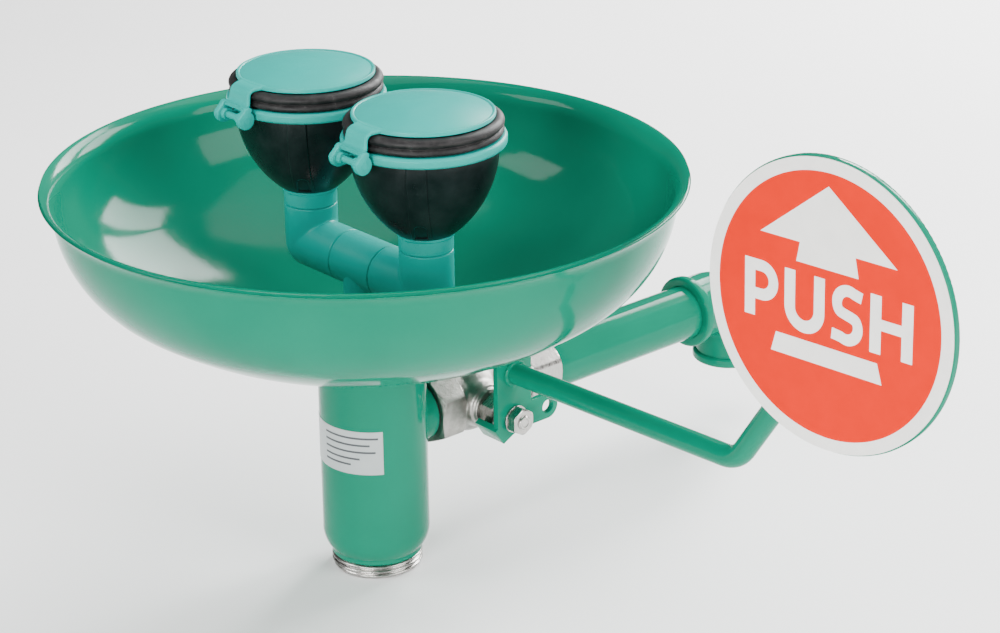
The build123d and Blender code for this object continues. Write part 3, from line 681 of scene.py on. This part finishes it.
def ribMesh(name, outer, centre, angle):
    # a raised strip down the side of the cup with an arched recess near its foot
    foot, top = outer[0][1], outer[-1][1]
    width = rib["width"] * rib["skirt"]
    half = rib["archWidth"] / 2
    roof = foot + rib["archTop"] - half
    columns, rows = rib["columns"], rib["rows"]
    bm = bmesh.new()
    grid = []
    for row in range(rows + 1):
        height = foot + rib["above"] + (top - foot - rib["short"]) * row / rows
        wallR = outerRadiusAt(outer, height)
        line = []
        for column in range(columns + 1):
            across = width * (column / columns - 0.5)
            edge = min(1.0, max(0.0, (width / 2 - abs(across)) / rib["ease"]))
            lift = rib["proud"] * (edge * edge * (3 - 2 * edge)) - rib["sunk"] * (1 - edge)
            away = abs(across) if height < roof else math.hypot(across, height - roof)
            if away < half and height > foot + rib["archFoot"]:
                lift -= min(1.0, (half - away) / rib["archEase"]) * rib["archDeep"]
            a = math.radians(angle) + across / wallR
            x, y = (wallR + lift) * math.cos(a), (wallR + lift) * math.sin(a)
            line.append(bm.verts.new((centre[0] + x, centre[1] + y, height)))
        grid.append(line)
    bridge(bm, grid, around=False)
    return meshFrom(name, bm, 60)


cuff = {
    "seat": 7.4,                         # top of the cuff above its seat on the ring
    # section of the two rolled lobes: in from the widest line, up from the seat
    "lobes": [(2.0, 0.0), (0.5, 0.3), (0.15, 1.4), (0.7, 2.6), (1.5, 3.1), (0.7, 3.6), (0.0, 4.6), (0.3, 6.0),
              (1.5, 7.1), (3.4, 7.4), (4.9, 6.8), (5.8, 5.2), (6.0, 3.6)],
    "skirt": (6.0, 4.7),                 # faces of the skirt, in from the widest line
}


def cuffOutline():
    # two rolled lobes outside, a crest, and a skirt inside the cup
    low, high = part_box("cuff_right")
    widest = (high[0] - low[0]) / 2
    seat = high[2] - cuff["seat"] * mm
    inside, outside = (widest - reach * mm for reach in cuff["skirt"])
    lobes = [(widest - inward * mm, seat + up * mm) for inward, up in cuff["lobes"]]
    rounded = smoothOutline(lobes + [(inside, low[2])], 2)
    return rounded + [(outside, low[2]), (outside, seat)]


cap = {
    # side view of the strap, mm from the hinge pin: along Y, up
    "strap": [(12.0, 12.15), (8.4, 12.15), (6.0, 11.9), (4.4, 10.9), (3.75, 9.2), (3.55, 7.2),
              (3.1, 5.6), (1.7, 4.75), (0.2, 4.6)],
    "strapWidths": (16.5, 14.4, 13.6, 13.4, 13.4, 13.6, 14.6, 15.6, 16.0),
    "strapThick": 1.9, "strapFlat": 0.86, "strapSegments": 28,
    "rimHigh": 2.0, "domeHigh": 4.2, "domeIn": 1.6, "domeSunk": 0.4, "domeSteps": 36,
    "wall": 1.8, "underShare": 0.94,
    "groove": ((0.35, -0.1), (0.7, 0.0)),                  # out from the dome, up from the rim
    "rimRound": ((0.5, 0.0), (0.12, 0.2), (0.0, 0.6)),     # in from the widest line, down from the rim
    "footRound": 0.3,
    "earWide": 3.0, "earOut": 9.5, "earLobe": 4.15, "earNeck": 2.1, "earRise": (1.2, 3.6), "earEase": 0.5,
}


def strapMesh(name, place, hinge):
    # a ribbon with rounded edges that follows the side view, wider where it meets the cap and the bar
    path = smoothOutline([(y, z, w) for (y, z), w in zip(cap["strap"], cap["strapWidths"])], 2)
    thick, flat, segments = cap["strapThick"] / 2, cap["strapFlat"], cap["strapSegments"]
    bm = bmesh.new()
    rings = []
    for i, (y, z, w) in enumerate(path):
        ay, az = path[max(i - 1, 0)][:2]
        by, bz = path[min(i + 1, len(path) - 1)][:2]
        long = math.hypot(by - ay, bz - az)
        ny, nz = -(bz - az) / long, (by - ay) / long
        ring = []
        for k in range(segments):
            a = 2 * math.pi * k / segments
            across = (w / 2 - thick) * (1 if math.cos(a) > 0 else -1) + thick * math.cos(a)
            out = thick * max(-flat, min(flat, math.sin(a))) / flat
            ring.append(bm.verts.new((place[0] + across * mm, hinge[1] + (y + ny * out) * mm,
                                      hinge[2] + (z + nz * out) * mm)))
        rings.append(ring)
    bridge(bm, rings, ended=True)
    return meshFrom(name, bm, 50)


def earMesh(name, centreX, hinge):
    # a flat lobe round the pin, drawn in to a neck at the cross bar
    riseY, riseZ = cap["earRise"]
    outline = arcPoints((0, 0), cap["earLobe"], 160, 250, 40)
    outline += arcPoints((riseY, riseZ), cap["earNeck"], 30, 130, 20)
    half, ease = cap["earWide"] / 2, cap["earEase"]
    sides = ((-half, ease), (-half + ease * 0.3, ease * 0.3), (-half + ease, 0))   # across, drawn in
    bm = bmesh.new()
    rings = []
    for x, inset in sides + tuple((-x, inset) for x, inset in reversed(sides)):
        ring = []
        for y, z in outline:
            cy, cz = (y - riseY * 0.5), (z - riseZ * 0.5)
            share = 1 - inset / max(math.hypot(cy, cz), 1.0)
            ring.append(bm.verts.new((centreX + x * mm, hinge[1] + (riseY * 0.5 + cy * share) * mm,
                                      hinge[2] + (riseZ * 0.5 + cz * share) * mm)))
        rings.append(ring)
    bridge(bm, rings, ended=True)
    return meshFrom(name, bm, 40)


def capOutline(outR, top):
    # a shallow dome, a groove, a square rim and a hollow underside
    rim = top - cap["domeHigh"]
    foot = rim - cap["rimHigh"]
    domeR = outR - cap["domeIn"]
    rise = top - (rim - cap["domeSunk"])
    ball = (domeR ** 2 + rise ** 2) / (2 * rise)
    spread = math.asin(domeR / ball)
    steps, share, eased = cap["domeSteps"], cap["underShare"], cap["footRound"]
    dome = [(ball * math.sin(spread * i / steps), top - ball + ball * math.cos(spread * i / steps))
            for i in range(steps + 1)]
    under = [(x * share, z - cap["wall"]) for x, z in dome]
    edge = [(domeR + out, rim + up) for out, up in cap["groove"]]
    edge += [(outR - inward, rim - down) for inward, down in cap["rimRound"]]
    edge += [(outR, foot + eased), (outR - eased, foot), (domeR * share + eased, foot)]
    return scaled([(0.0, dome[0][1])] + dome[1:] + edge + under[::-1][:-1] + [(0.0, under[0][1])])


def makeCap(side, place):
    body = side + "_cap"
    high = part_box("cap_" + side)[1]
    hinge = joints[side + "_cap_hinge"]["pos_m"]
    outline = capOutline((high[1] - place[1]) / mm, high[2] / mm)
    shell = newPiece("capShell_" + side, latheMesh("capShell_" + side, outline, place, 144, False, 34),
                     plasticTeal, body)
    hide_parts("cap_" + side)
    strap = strapMesh("capStrap_" + side, place, hinge)
    newPiece("capStrap_" + side, strap, plasticTeal, body)
    for i, way in enumerate((-1, 1)):
        name = "capEar%d_" % i + side
        x = place[0] + way * (cap["earOut"] - cap["earWide"] / 2) * mm
        newPiece(name, earMesh(name, x, hinge), plasticTeal, body)


def makeHead(side):
    centre = middle("cup_" + side)
    place = (centre.x, joints[side + "_cap_hinge"]["pos_m"][1] + head["hingeAhead"] * mm)
    outline, outer = cupOutline()
    cup = newPiece("cupShell_" + side, latheMesh("cupShell_" + side, outline, place, head["segments"]),
                   plasticBlack, "station")
    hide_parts("cup_" + side)
    for i, angle in enumerate(rib["angles"]):
        name = "cupRib%d_" % i + side
        newPiece(name, ribMesh(name, outer, place, angle), plasticBlack, "station")
    rollMesh = latheMesh("cuffRoll_" + side, cuffOutline(), place, head["segments"], True, 60)
    roll = newPiece("cuffRoll_" + side, rollMesh, rubber, "station")
    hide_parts("cuff_" + side)
    makeCap(side, place)
    easedCopy("clampRing_" + side, "retaining_ring_" + side, plasticTeal, "station", head["ringEdge"] * mm)


yoke = {
    "pipe": 12.0 * mm, "voxel": 0.45 * mm, "rounds": 5,
    "seam": 0.15 * mm,         # open joint between two mouldings
}


def makeYokeElbow(side):
    # square moulded elbow with a ball corner
    low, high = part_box("yoke_elbow_" + side)
    centre = middle("cup_" + side)
    corner = Vector((centre.x, (low[1] + high[1]) / 2, low[2] + yoke["pipe"]))
    inner = low[0] if side == "right" else high[0]
    toMiddle = -1 if side == "right" else 1
    shapes = [barShape(corner, (inner - toMiddle * yoke["seam"], corner.y, corner.z), yoke["pipe"]),
              barShape(corner, (corner.x, corner.y, high[2] - yoke["seam"]), yoke["pipe"]),
              ballShape(corner, yoke["pipe"])]
    elbow = fused("elbowMoulding_" + side, shapes, yoke["voxel"], yoke["rounds"], plasticTeal, "station")
    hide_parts("yoke_elbow_" + side)


for side in ("left", "right"):
    makeHead(side)
    makeYokeElbow(side)
print("spray heads moulded")


# lever

lever = {
    "edge": 0.7 * mm, "discEdge": 0.3 * mm, "washerEdge": 0.15 * mm, "shaftEdge": 0.3 * mm,   # eased edges
    "bead": 1.7 * mm, "beadWobble": 0.35 * mm, "beadRound": 0.8, "ripples": 22,                # weld bead
    "beadLoops": 120, "beadSegments": 12,
    "weldPlace": (0.4 * mm, 5.0 * mm), "weldRadius": 5.2 * mm,   # off the plate, up from the rod's underside
    "stud": 3.3 * mm, "studDepth": 0.35 * mm, "studPitch": 0.5 * mm,
    "studSunk": 1.6 * mm, "threadSunk": 1.2 * mm,                # below the nut's outer face
    "tip": ((0.4 * mm, 0.0), (1.2 * mm, 0.0), (1.5 * mm, 0.3 * mm)),   # in from the crest, back from the end
    "hollow": 0.1 * mm,
}


def weldBead(name, centre, normal, radius, body):
    # a hand-laid fillet around a round bar where it meets a plate
    normal = Vector(normal).normalized()
    side = normal.orthogonal().normalized()
    up = normal.cross(side)
    loops, segments = lever["beadLoops"], lever["beadSegments"]
    bm = bmesh.new()
    rings = []
    for i in range(loops):
        a = 2 * math.pi * i / loops
        out = side * math.cos(a) + up * math.sin(a)
        unevenness = noise.noise(Vector((math.cos(a) * 3, math.sin(a) * 3, radius * 900)))
        ripple = math.sin(a * lever["ripples"]) * 0.12 + unevenness * 0.5
        size = (lever["bead"] + lever["beadWobble"] * ripple) * lever["beadRound"]
        ring = []
        for k in range(segments):
            b = 2 * math.pi * k / segments
            swell = out * (radius + math.cos(b) * size) + normal * (math.sin(b) * size)
            ring.append(bm.verts.new(centre + swell))
        rings.append(ring)
    bridge(bm, rings + rings[:1])
    return newPiece(name, meshFrom(name, bm, 80), enamel, body)


def studOutline(face, tip):
    # a threaded end standing out of the nut
    crest, pitch = lever["stud"], lever["studPitch"]
    outline = [(0.0, face - lever["studSunk"]), (crest, face - lever["studSunk"])]
    at = face - lever["threadSunk"]
    while at < tip - pitch:
        outline += [(crest - lever["studDepth"], at), (crest, at + pitch / 2)]
        at += pitch
    outline += [(crest - inward, tip - back) for inward, back in lever["tip"]]
    return outline + [(0.0, tip - lever["tip"][-1][1])]


def makeLever():
    easedCopy("bracketPlate", "lever_bracket", enamel, "lever", lever["edge"])
    easedCopy("pushDisc", "push_plate", enamel, "lever", lever["discEdge"])
    across = Vector((1, 0, 0))
    low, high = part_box("lever_nut")
    corner = cornerWay("lever_nut", leverPivot, across)
    flats = min(high[1] - low[1], high[2] - low[2])
    start = Vector((low[0], leverPivot.y, leverPivot.z))
    nutMesh = hexMesh("nutHex", start, across, corner, high[0] - low[0], flats, lever["stud"])
    nut = newPiece("nutHex", nutMesh, steelAlongX, "lever")
    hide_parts("lever_nut")
    easedCopy("washerDisc", "lever_washer", steelAlongX, "lever", lever["washerEdge"])
    face = high[0]
    low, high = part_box("valve_stem")
    mesh = latheMesh("studTip", studOutline(face, high[0]), (0, 0), 64, False, 30)
    quarter = Matrix.Rotation(math.radians(90), 4, "Y")
    mesh.transform(Matrix.Translation((0, leverPivot.y, leverPivot.z)) @ quarter)
    newPiece("studTip", mesh, steelAlongX, "lever")
    shaftR = (high[2] - low[2]) / 2
    eased, hollow, end = lever["shaftEdge"], lever["hollow"], face - lever["threadSunk"]
    shaft = [(hollow, low[0]), (shaftR - eased, low[0]), (shaftR, low[0] + eased),
             (shaftR, end), (hollow, end)]
    stemMesh = latheAlong("stemShaft", shaft, (0, leverPivot.y, leverPivot.z), across, 64)
    stem = newPiece("stemShaft", stemMesh, steelAlongX, "lever")
    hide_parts("valve_stem")
    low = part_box("lever_rod")[0]
    off, up = lever["weldPlace"]
    place = Vector((low[0] + off, leverPivot.y, low[2] + up))
    weldBead("weldBracket", place, across, lever["weldRadius"], "lever")


makeLever()
print("lever welded")


# valve and supply line

valve = {
    "flats": (32.0 * mm, 30.0 * mm),                   # inlet and outlet hexagons
    "bores": (10.4 * mm, 8.0 * mm),
    "hexEnd": 12.6 * mm,                               # length of the inlet hexagon
    "bossGap": 0.35 * mm, "castGap": 0.7 * mm,         # open joints at the two hexagons
    "cast": 15.6 * mm, "ball": 17.4 * mm, "housing": 9.2 * mm, "pad": (13.225 * mm, 10.58 * mm),   # radii
    "castSunk": 2.5 * mm, "ballAhead": 1.0 * mm, "padOut": 1.4 * mm,
    "voxel": 0.55 * mm, "rounds": 9,
    "pipeWall": 2.6 * mm, "pipeEdge": (0.5 * mm, 0.6 * mm), "elbowEdge": 0.5 * mm,
}


def makeValve():
    along = Vector((0, 1, 0))
    low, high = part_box("valve_body")
    pipeLow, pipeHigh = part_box("supply_pipe")
    corner = cornerWay("valve_end", leverPivot, along)
    (inletFlats, outletFlats), (inletBore, outletBore) = valve["flats"], valve["bores"]
    hexStart = Vector((0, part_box("drain_body")[1][1] + valve["bossGap"], leverPivot.z))
    hexLong = low[1] + valve["hexEnd"] - hexStart.y
    inletMesh = hexMesh("valveInletHex", hexStart, along, corner, hexLong, inletFlats, inletBore)
    newPiece("valveInletHex", inletMesh, casting, "station")
    castStart = hexStart.y + hexLong - valve["castSunk"]
    padEnd = valve["ball"] + valve["padOut"]
    shapes = [barShape((0, castStart, leverPivot.z), (0, high[1], leverPivot.z), valve["cast"]),
              ballShape(leverPivot + along * valve["ballAhead"], valve["ball"]),
              barShape(leverPivot, (high[0], leverPivot.y, leverPivot.z), valve["housing"]),
              barShape(leverPivot, (padEnd, leverPivot.y, leverPivot.z), *valve["pad"])]
    body = fused("valveCasting", shapes, valve["voxel"], valve["rounds"], casting, "station")
    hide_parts("valve_body")
    hexStart = Vector((0, high[1] + valve["castGap"], leverPivot.z))
    hexLong = pipeLow[1] - hexStart.y
    outletMesh = hexMesh("valveOutletHex", hexStart, along, corner, hexLong, outletFlats, outletBore)
    end = newPiece("valveOutletHex", outletMesh, steelAlongY, "station")
    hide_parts("valve_end")
    easedCopy("elbowCasting", "supply_elbow", enamel, "station", valve["elbowEdge"])
    pipeR = pipeHigh[0]
    bore = pipeR - valve["pipeWall"]
    inward, back = valve["pipeEdge"]
    pipe = [(bore, pipeLow[1]), (pipeR - inward, pipeLow[1]), (pipeR, pipeLow[1] + back),
            (pipeR, pipeHigh[1]), (bore, pipeHigh[1])]
    tubeMesh = latheAlong("supplyTube", pipe, (0, 0, leverPivot.z), along, 160)
    tube = newPiece("supplyTube", tubeMesh, enamel, "station")
    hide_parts("supply_pipe")


drain = {
    # the body's skin in mm: neck ring and step, start and middle of the rounded foot, top of the foot
    "neck": [(18.3, 7.0), (20.5, 6.7), (20.85, 7.0), (20.85, 9.1), (21.3, 9.3)],
    "foot": ((21.45, 9.6), (23.75, 13.8)), "footTop": 20.0,
    "sideRows": (45, 80), "topEdge": (0.5, 0.6),
    "inside": ((19.0, 21.0), (18.3, 19.0)),             # bore and the seat of the outlet
    # side boss: radius and height from its end face
    "boss": [(12.0, -10.0), (14.0, -10.0), (14.0, -0.8), (13.4, 0.0), (10.5, 0.0), (10.5, -3.0)],
}


def makeDrainBody():
    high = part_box("drain_body")[1]
    side, top = high[0] / mm, high[2] / mm
    inward, down = drain["topEdge"]
    outline = drain["neck"] + arcThrough(*drain["foot"], (side, drain["footTop"]), 24)
    outline += [(side, row) for row in drain["sideRows"]]
    outline += [(side, top - down), (side - inward, top), (drain["inside"][0][0], top), *drain["inside"]]
    shell = newPiece("drainShell", latheMesh("drainShell", scaled(outline), (0, 0), 160, True, 28), enamel,
                     "station")
    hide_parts("drain_body")
    ring = [(radius * mm, high[1] + at * mm) for radius, at in drain["boss"]]
    bossMesh = latheAlong("drainBoss", ring, (0, 0, leverPivot.z), (0, 1, 0), 96)
    newPiece("drainBoss", bossMesh, enamel, "station")


makeDrainBody()
makeValve()
print("valve and supply line cleaned up")


# label

label = {
    # printed rules: height as a share of the label, and degrees left blank at the end of the line
    "rules": ((0.82, 0), (0.66, 9), (0.5, 3), (0.34, 20), (0.2, 30)),
    "from": -98.0, "to": -34.0,               # degrees round the body
    "off": 0.02 * mm, "thick": 0.05 * mm, "ruleHigh": 0.9 * mm, "steps": 30,
}


def makeLabelRules():
    # plain rules in place of small print
    low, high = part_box("body_label")
    inner = max(abs(low[0]), abs(low[1]), abs(high[0])) + label["off"]
    outer = inner + label["thick"]
    steps, tall = label["steps"], label["ruleHigh"]
    for i, (share, short) in enumerate(label["rules"]):
        height = low[2] + (high[2] - low[2]) * share
        sweep = label["to"] - short - label["from"]
        bm = bmesh.new()
        rings = []
        for k in range(steps + 1):
            a = math.radians(label["from"] + sweep * k / steps)
            rings.append([bm.verts.new((radius * math.cos(a), radius * math.sin(a), height + z))
                          for radius, z in ((inner, 0), (outer, 0), (outer, tall), (inner, tall))])
        bridge(bm, rings, ended=True)
        newPiece("labelRule%d" % i, meshFrom("labelRule%d" % i, bm, 40), labelInk, "station")


makeLabelRules()
print("label ruled")


# push plate sign

sign = {
    "fieldRadius": 55.4 * mm,
    "inkStep": 0.12 * mm,          # each printed layer stands this proud
    "turn": 1.3,                   # degrees the print sits off level
    "arrowTip": 50.0, "arrowShoulder": 24.1, "arrowHalf": 34.0,
    "stemTopHalf": 13.8, "stemFootHalf": 15.5, "stemFoot": 15.8,
    "wordTop": 11.7, "wordFoot": -12.6, "wordLeft": -41.8, "wordRight": 42.2,
    "barTop": -16.6, "barFoot": -25.1, "barTopHalf": 25.4, "barFootHalf": 27.9,
    "segments": 160,
}


def signFrame():
    # the sign's outer face: centre, across, up and outward, found from its own mesh
    mesh = nodes["push_sign"].data
    best = None
    for polygon in mesh.polygons:
        if polygon.normal.y < -0.9 and (best is None or polygon.area > best.area):
            best = polygon
    outward = best.normal.normalized()
    across = Vector((0, 0, 1)).cross(outward).normalized()
    up = outward.cross(across)
    centre = middle("push_sign")
    face = max((mesh.vertices[i].co - centre).dot(outward) for i in best.vertices)
    return centre + outward * face, across, up, outward


signCentre, signAcross, signUp, signOut = signFrame()


def onSign(x, y, lift):
    a = math.radians(sign["turn"])
    u = x * math.cos(a) - y * math.sin(a)
    v = x * math.sin(a) + y * math.cos(a)
    return signCentre + signAcross * u + signUp * v + signOut * lift


def printedShape(name, outline, lift, thick, material):
    # a flat closed outline with a small thickness, in the sign's plane
    bm = bmesh.new()
    back = [bm.verts.new(onSign(x, y, lift)) for x, y in outline]
    front = [bm.verts.new(onSign(x, y, lift + thick)) for x, y in outline]
    bm.faces.new(back[::-1])
    bm.faces.new(front)
    for i in range(len(outline)):
        j = (i + 1) % len(outline)
        bm.faces.new((back[i], back[j], front[j], front[i]))
    mesh = meshFrom(name, bm, 30.0)
    return newPiece(name, mesh, material, "lever")


def makeSign():
    step = sign["inkStep"]
    radius = sign["fieldRadius"]
    circle = arcPoints((0, 0), radius, 0, 360, sign["segments"])[:-1]
    printedShape("signField", circle, 0, step, signOrange)
    arrow = [(0, sign["arrowTip"]), (sign["arrowHalf"], sign["arrowShoulder"]),
             (sign["stemTopHalf"], sign["arrowShoulder"]), (sign["stemFootHalf"], sign["stemFoot"]),
             (-sign["stemFootHalf"], sign["stemFoot"]), (-sign["stemTopHalf"], sign["arrowShoulder"]),
             (-sign["arrowHalf"], sign["arrowShoulder"])]
    printedShape("signArrow", scaled(arrow), step, step, signWhite)
    bar = [(-sign["barTopHalf"], sign["barTop"]), (sign["barTopHalf"], sign["barTop"]),
           (sign["barFootHalf"], sign["barFoot"]), (-sign["barFootHalf"], sign["barFoot"])]
    printedShape("signBar", scaled(bar), step, step, signWhite)


def strokeOutline(path, width):
    # the outline of a stroke of even width along an open path
    left, right = [], []
    for i, (x, y) in enumerate(path):
        ax, ay = path[max(i - 1, 0)]
        bx, by = path[min(i + 1, len(path) - 1)]
        length = math.hypot(bx - ax, by - ay)
        nx, ny = -(by - ay) / length, (bx - ax) / length
        left.append((x + nx * width / 2, y + ny * width / 2))
        right.append((x - nx * width / 2, y - ny * width / 2))
    return left + right[::-1]


word = {
    "stroke": 5.3, "roundStroke": 4.8, "wavyStroke": 4.7,   # widths of straight, round and wavy strokes
    "overlap": 0.4,                                         # round strokes run into the stems
    "layerStep": 0.02,                                      # each part is this share thicker than the last
    "bowlRadius": 6.1, "bowlOut": 3.4,
    "uStart": 20.6, "uWidth": 20.2, "uLow": 1.0,
    "sMiddle": 52.2, "sRadius": 5.6, "sUpper": (0.4, 0.6), "sLower": (-0.3, -0.9),
    "sEnds": ((7.0, -3.6), (-7.6, 2.9)),                    # from the middle line, off the top and the foot
    "hWidth": 20.6, "crossShare": 0.51, "crossHalf": 2.3, "crossOverlap": 0.3,
}


def block(left, foot, right, top):
    return [(left, foot), (right, foot), (right, top), (left, top)]


def makeWord():
    # four plain block letters drawn as strokes of even width
    top, foot, left, right = sign["wordTop"], sign["wordFoot"], sign["wordLeft"], sign["wordRight"]
    stroke = word["stroke"]
    half = stroke / 2
    # P: stem and bowl
    bowlR, tuck = word["bowlRadius"], left + stroke - word["overlap"]
    bowlMid = top - bowlR - word["roundStroke"] / 2
    bowlPath = [(tuck, bowlMid + bowlR)]
    bowlPath += arcPoints((left + stroke + word["bowlOut"], bowlMid), bowlR, 90, -180, 24)
    bowlPath += [(tuck, bowlMid - bowlR)]
    parts = [block(left, foot, left + stroke, top), strokeOutline(bowlPath, word["roundStroke"])]
    # U: two stems and a round foot
    uLeft, uWidth = left + word["uStart"], word["uWidth"]
    uR = (uWidth - stroke) / 2
    uCentre = (uLeft + uWidth / 2, foot + uR + half - word["uLow"])
    uPath = [(uLeft + half, top)] + arcPoints(uCentre, uR, 180, 180, 30) + [(uLeft + uWidth - half, top)]
    parts.append(strokeOutline(uPath, stroke))
    # S: two round halves joined by a slope
    sMid, sR = left + word["sMiddle"], word["sRadius"]
    upper = (sMid + word["sUpper"][0], top - half - sR + word["sUpper"][1])
    lower = (sMid + word["sLower"][0], foot + half + sR + word["sLower"][1])
    (startX, startY), (endX, endY) = word["sEnds"]
    sPath = [(sMid + startX, top + startY)] + arcPoints(upper, sR, 62, 160, 22)
    sPath += arcPoints(lower, sR, 42, -160, 22) + [(sMid + endX, foot + endY)]
    parts.append(strokeOutline(smoothOutline(sPath, 1), word["wavyStroke"]))
    # H: two stems and a cross stroke
    hLeft, tuck = right - word["hWidth"], word["crossOverlap"]
    parts.append(block(hLeft, foot, hLeft + stroke, top))
    parts.append(block(right - stroke, foot, right, top))
    crossY, thin = foot + (top - foot) * word["crossShare"], word["crossHalf"]
    parts.append(block(hLeft + stroke - tuck, crossY - thin, right - stroke + tuck, crossY + thin))
    step = sign["inkStep"]
    for i, part in enumerate(parts):
        thick = step * (1.0 + word["layerStep"] * i)
        printedShape("signLetter%d" % i, scaled(part), step, thick, signWhite)


makeSign()
makeWord()
print("sign printed")


# camera, lights, floor

view = {
    "azimuth": 48.6, "elevation": 22.55, "roll": 0.6,   # degrees
    "distance": 1.1968, "lens": 96.9, "sensor": 36, "clip": (0.05, 20),
    "shift": (-0.0048, 0.0016),                           # share of the frame width
    "target": (-0.0278, -0.01425, 0.00205),                # from the middle of the object's box
}


def makeCamera():
    low, high = cadBox
    target = (Vector(low) + Vector(high)) / 2 + Vector(view["target"])
    azimuth = math.radians(view["azimuth"])
    elevation = math.radians(view["elevation"])
    toCamera = Vector((math.sin(azimuth) * math.cos(elevation), -math.cos(azimuth) * math.cos(elevation),
                       math.sin(elevation)))
    data = bpy.data.cameras.new("camera")
    data.lens = view["lens"]
    data.sensor_width = view["sensor"]
    data.shift_x, data.shift_y = view["shift"]
    data.clip_start, data.clip_end = view["clip"]
    camera = bpy.data.objects.new("camera", data)
    bpy.context.scene.collection.objects.link(camera)
    turn = toCamera.to_track_quat("Z", "Y").to_matrix().to_4x4()
    spin = Matrix.Rotation(math.radians(-view["roll"]), 4, "Z")
    camera.matrix_world = Matrix.Translation(target + toCamera * view["distance"]) @ turn @ spin
    bpy.context.scene.camera = camera


makeCamera()


studio = {
    "boxes": {                 # place, size in metres, power in watts
        "keyBox": ((-0.75, -1.3, 1.3), (0.8, 0.6), 19),
        "rightBox": ((1.6, 0.45, 0.75), (1.0, 1.0), 38),
        "frontBox": ((0.75, -1.65, 0.5), (0.9, 0.5), 46),
        "windowLeft": ((-0.62, 1.5, 0.98), (0.5, 0.95), 46),
        "windowRight": ((0.0, 1.62, 0.98), (0.5, 0.95), 46),
        "topBox": ((0.15, 0.25, 2.1), (2.0, 1.8), 44),
    },
    "aim": (0.04, 0.0, 0.14),
    "world": 0.12,
}


def areaLight(name, place, size, power):
    data = bpy.data.lights.new(name, "AREA")
    data.shape = "RECTANGLE"
    data.size, data.size_y = size
    data.energy = power
    lamp = bpy.data.objects.new(name, data)
    bpy.context.scene.collection.objects.link(lamp)
    lamp.location = place
    lamp.rotation_euler = (Vector(studio["aim"]) - Vector(place)).to_track_quat("-Z", "Y").to_euler()


def makeStudio():
    for name, (place, size, power) in studio["boxes"].items():
        areaLight(name, place, size, power)
    world = bpy.data.worlds.new("studio")
    bpy.context.scene.world = world
    world.use_nodes = True
    background = world.node_tree.nodes["Background"]
    background.inputs["Color"].default_value = (1, 1, 1, 1)
    background.inputs["Strength"].default_value = studio["world"]


floorSheet = {
    "half": 4.0, "below": 0.5 * mm,     # half its width, and how far under the object
    "tones": ((0.9, 0.9, 0.9), (0.94, 0.94, 0.94)), "roughness": 0.6,
}


def makeFloor():
    # a large pale sheet that the outlet stands on
    bm = bmesh.new()
    bmesh.ops.create_grid(bm, x_segments=8, y_segments=8, size=floorSheet["half"])
    for vert in bm.verts:
        vert.co.z = cadBox[0][2] - floorSheet["below"]
    mesh = meshFrom("floor", bm)
    dark, light = floorSheet["tones"]
    material, tree, shader = newMaterial("paleFloor", light, floorSheet["roughness"])
    tone = noiseNode(tree, 3, 2, 0.5)
    tree.links.new(ramp(tree, tone, [(0.3, dark), (0.7, light)]), shader.inputs["Base Color"])
    floor = newPiece("floor", mesh, material, None)


makeStudio()
makeFloor()
print("camera, lights and floor placed")
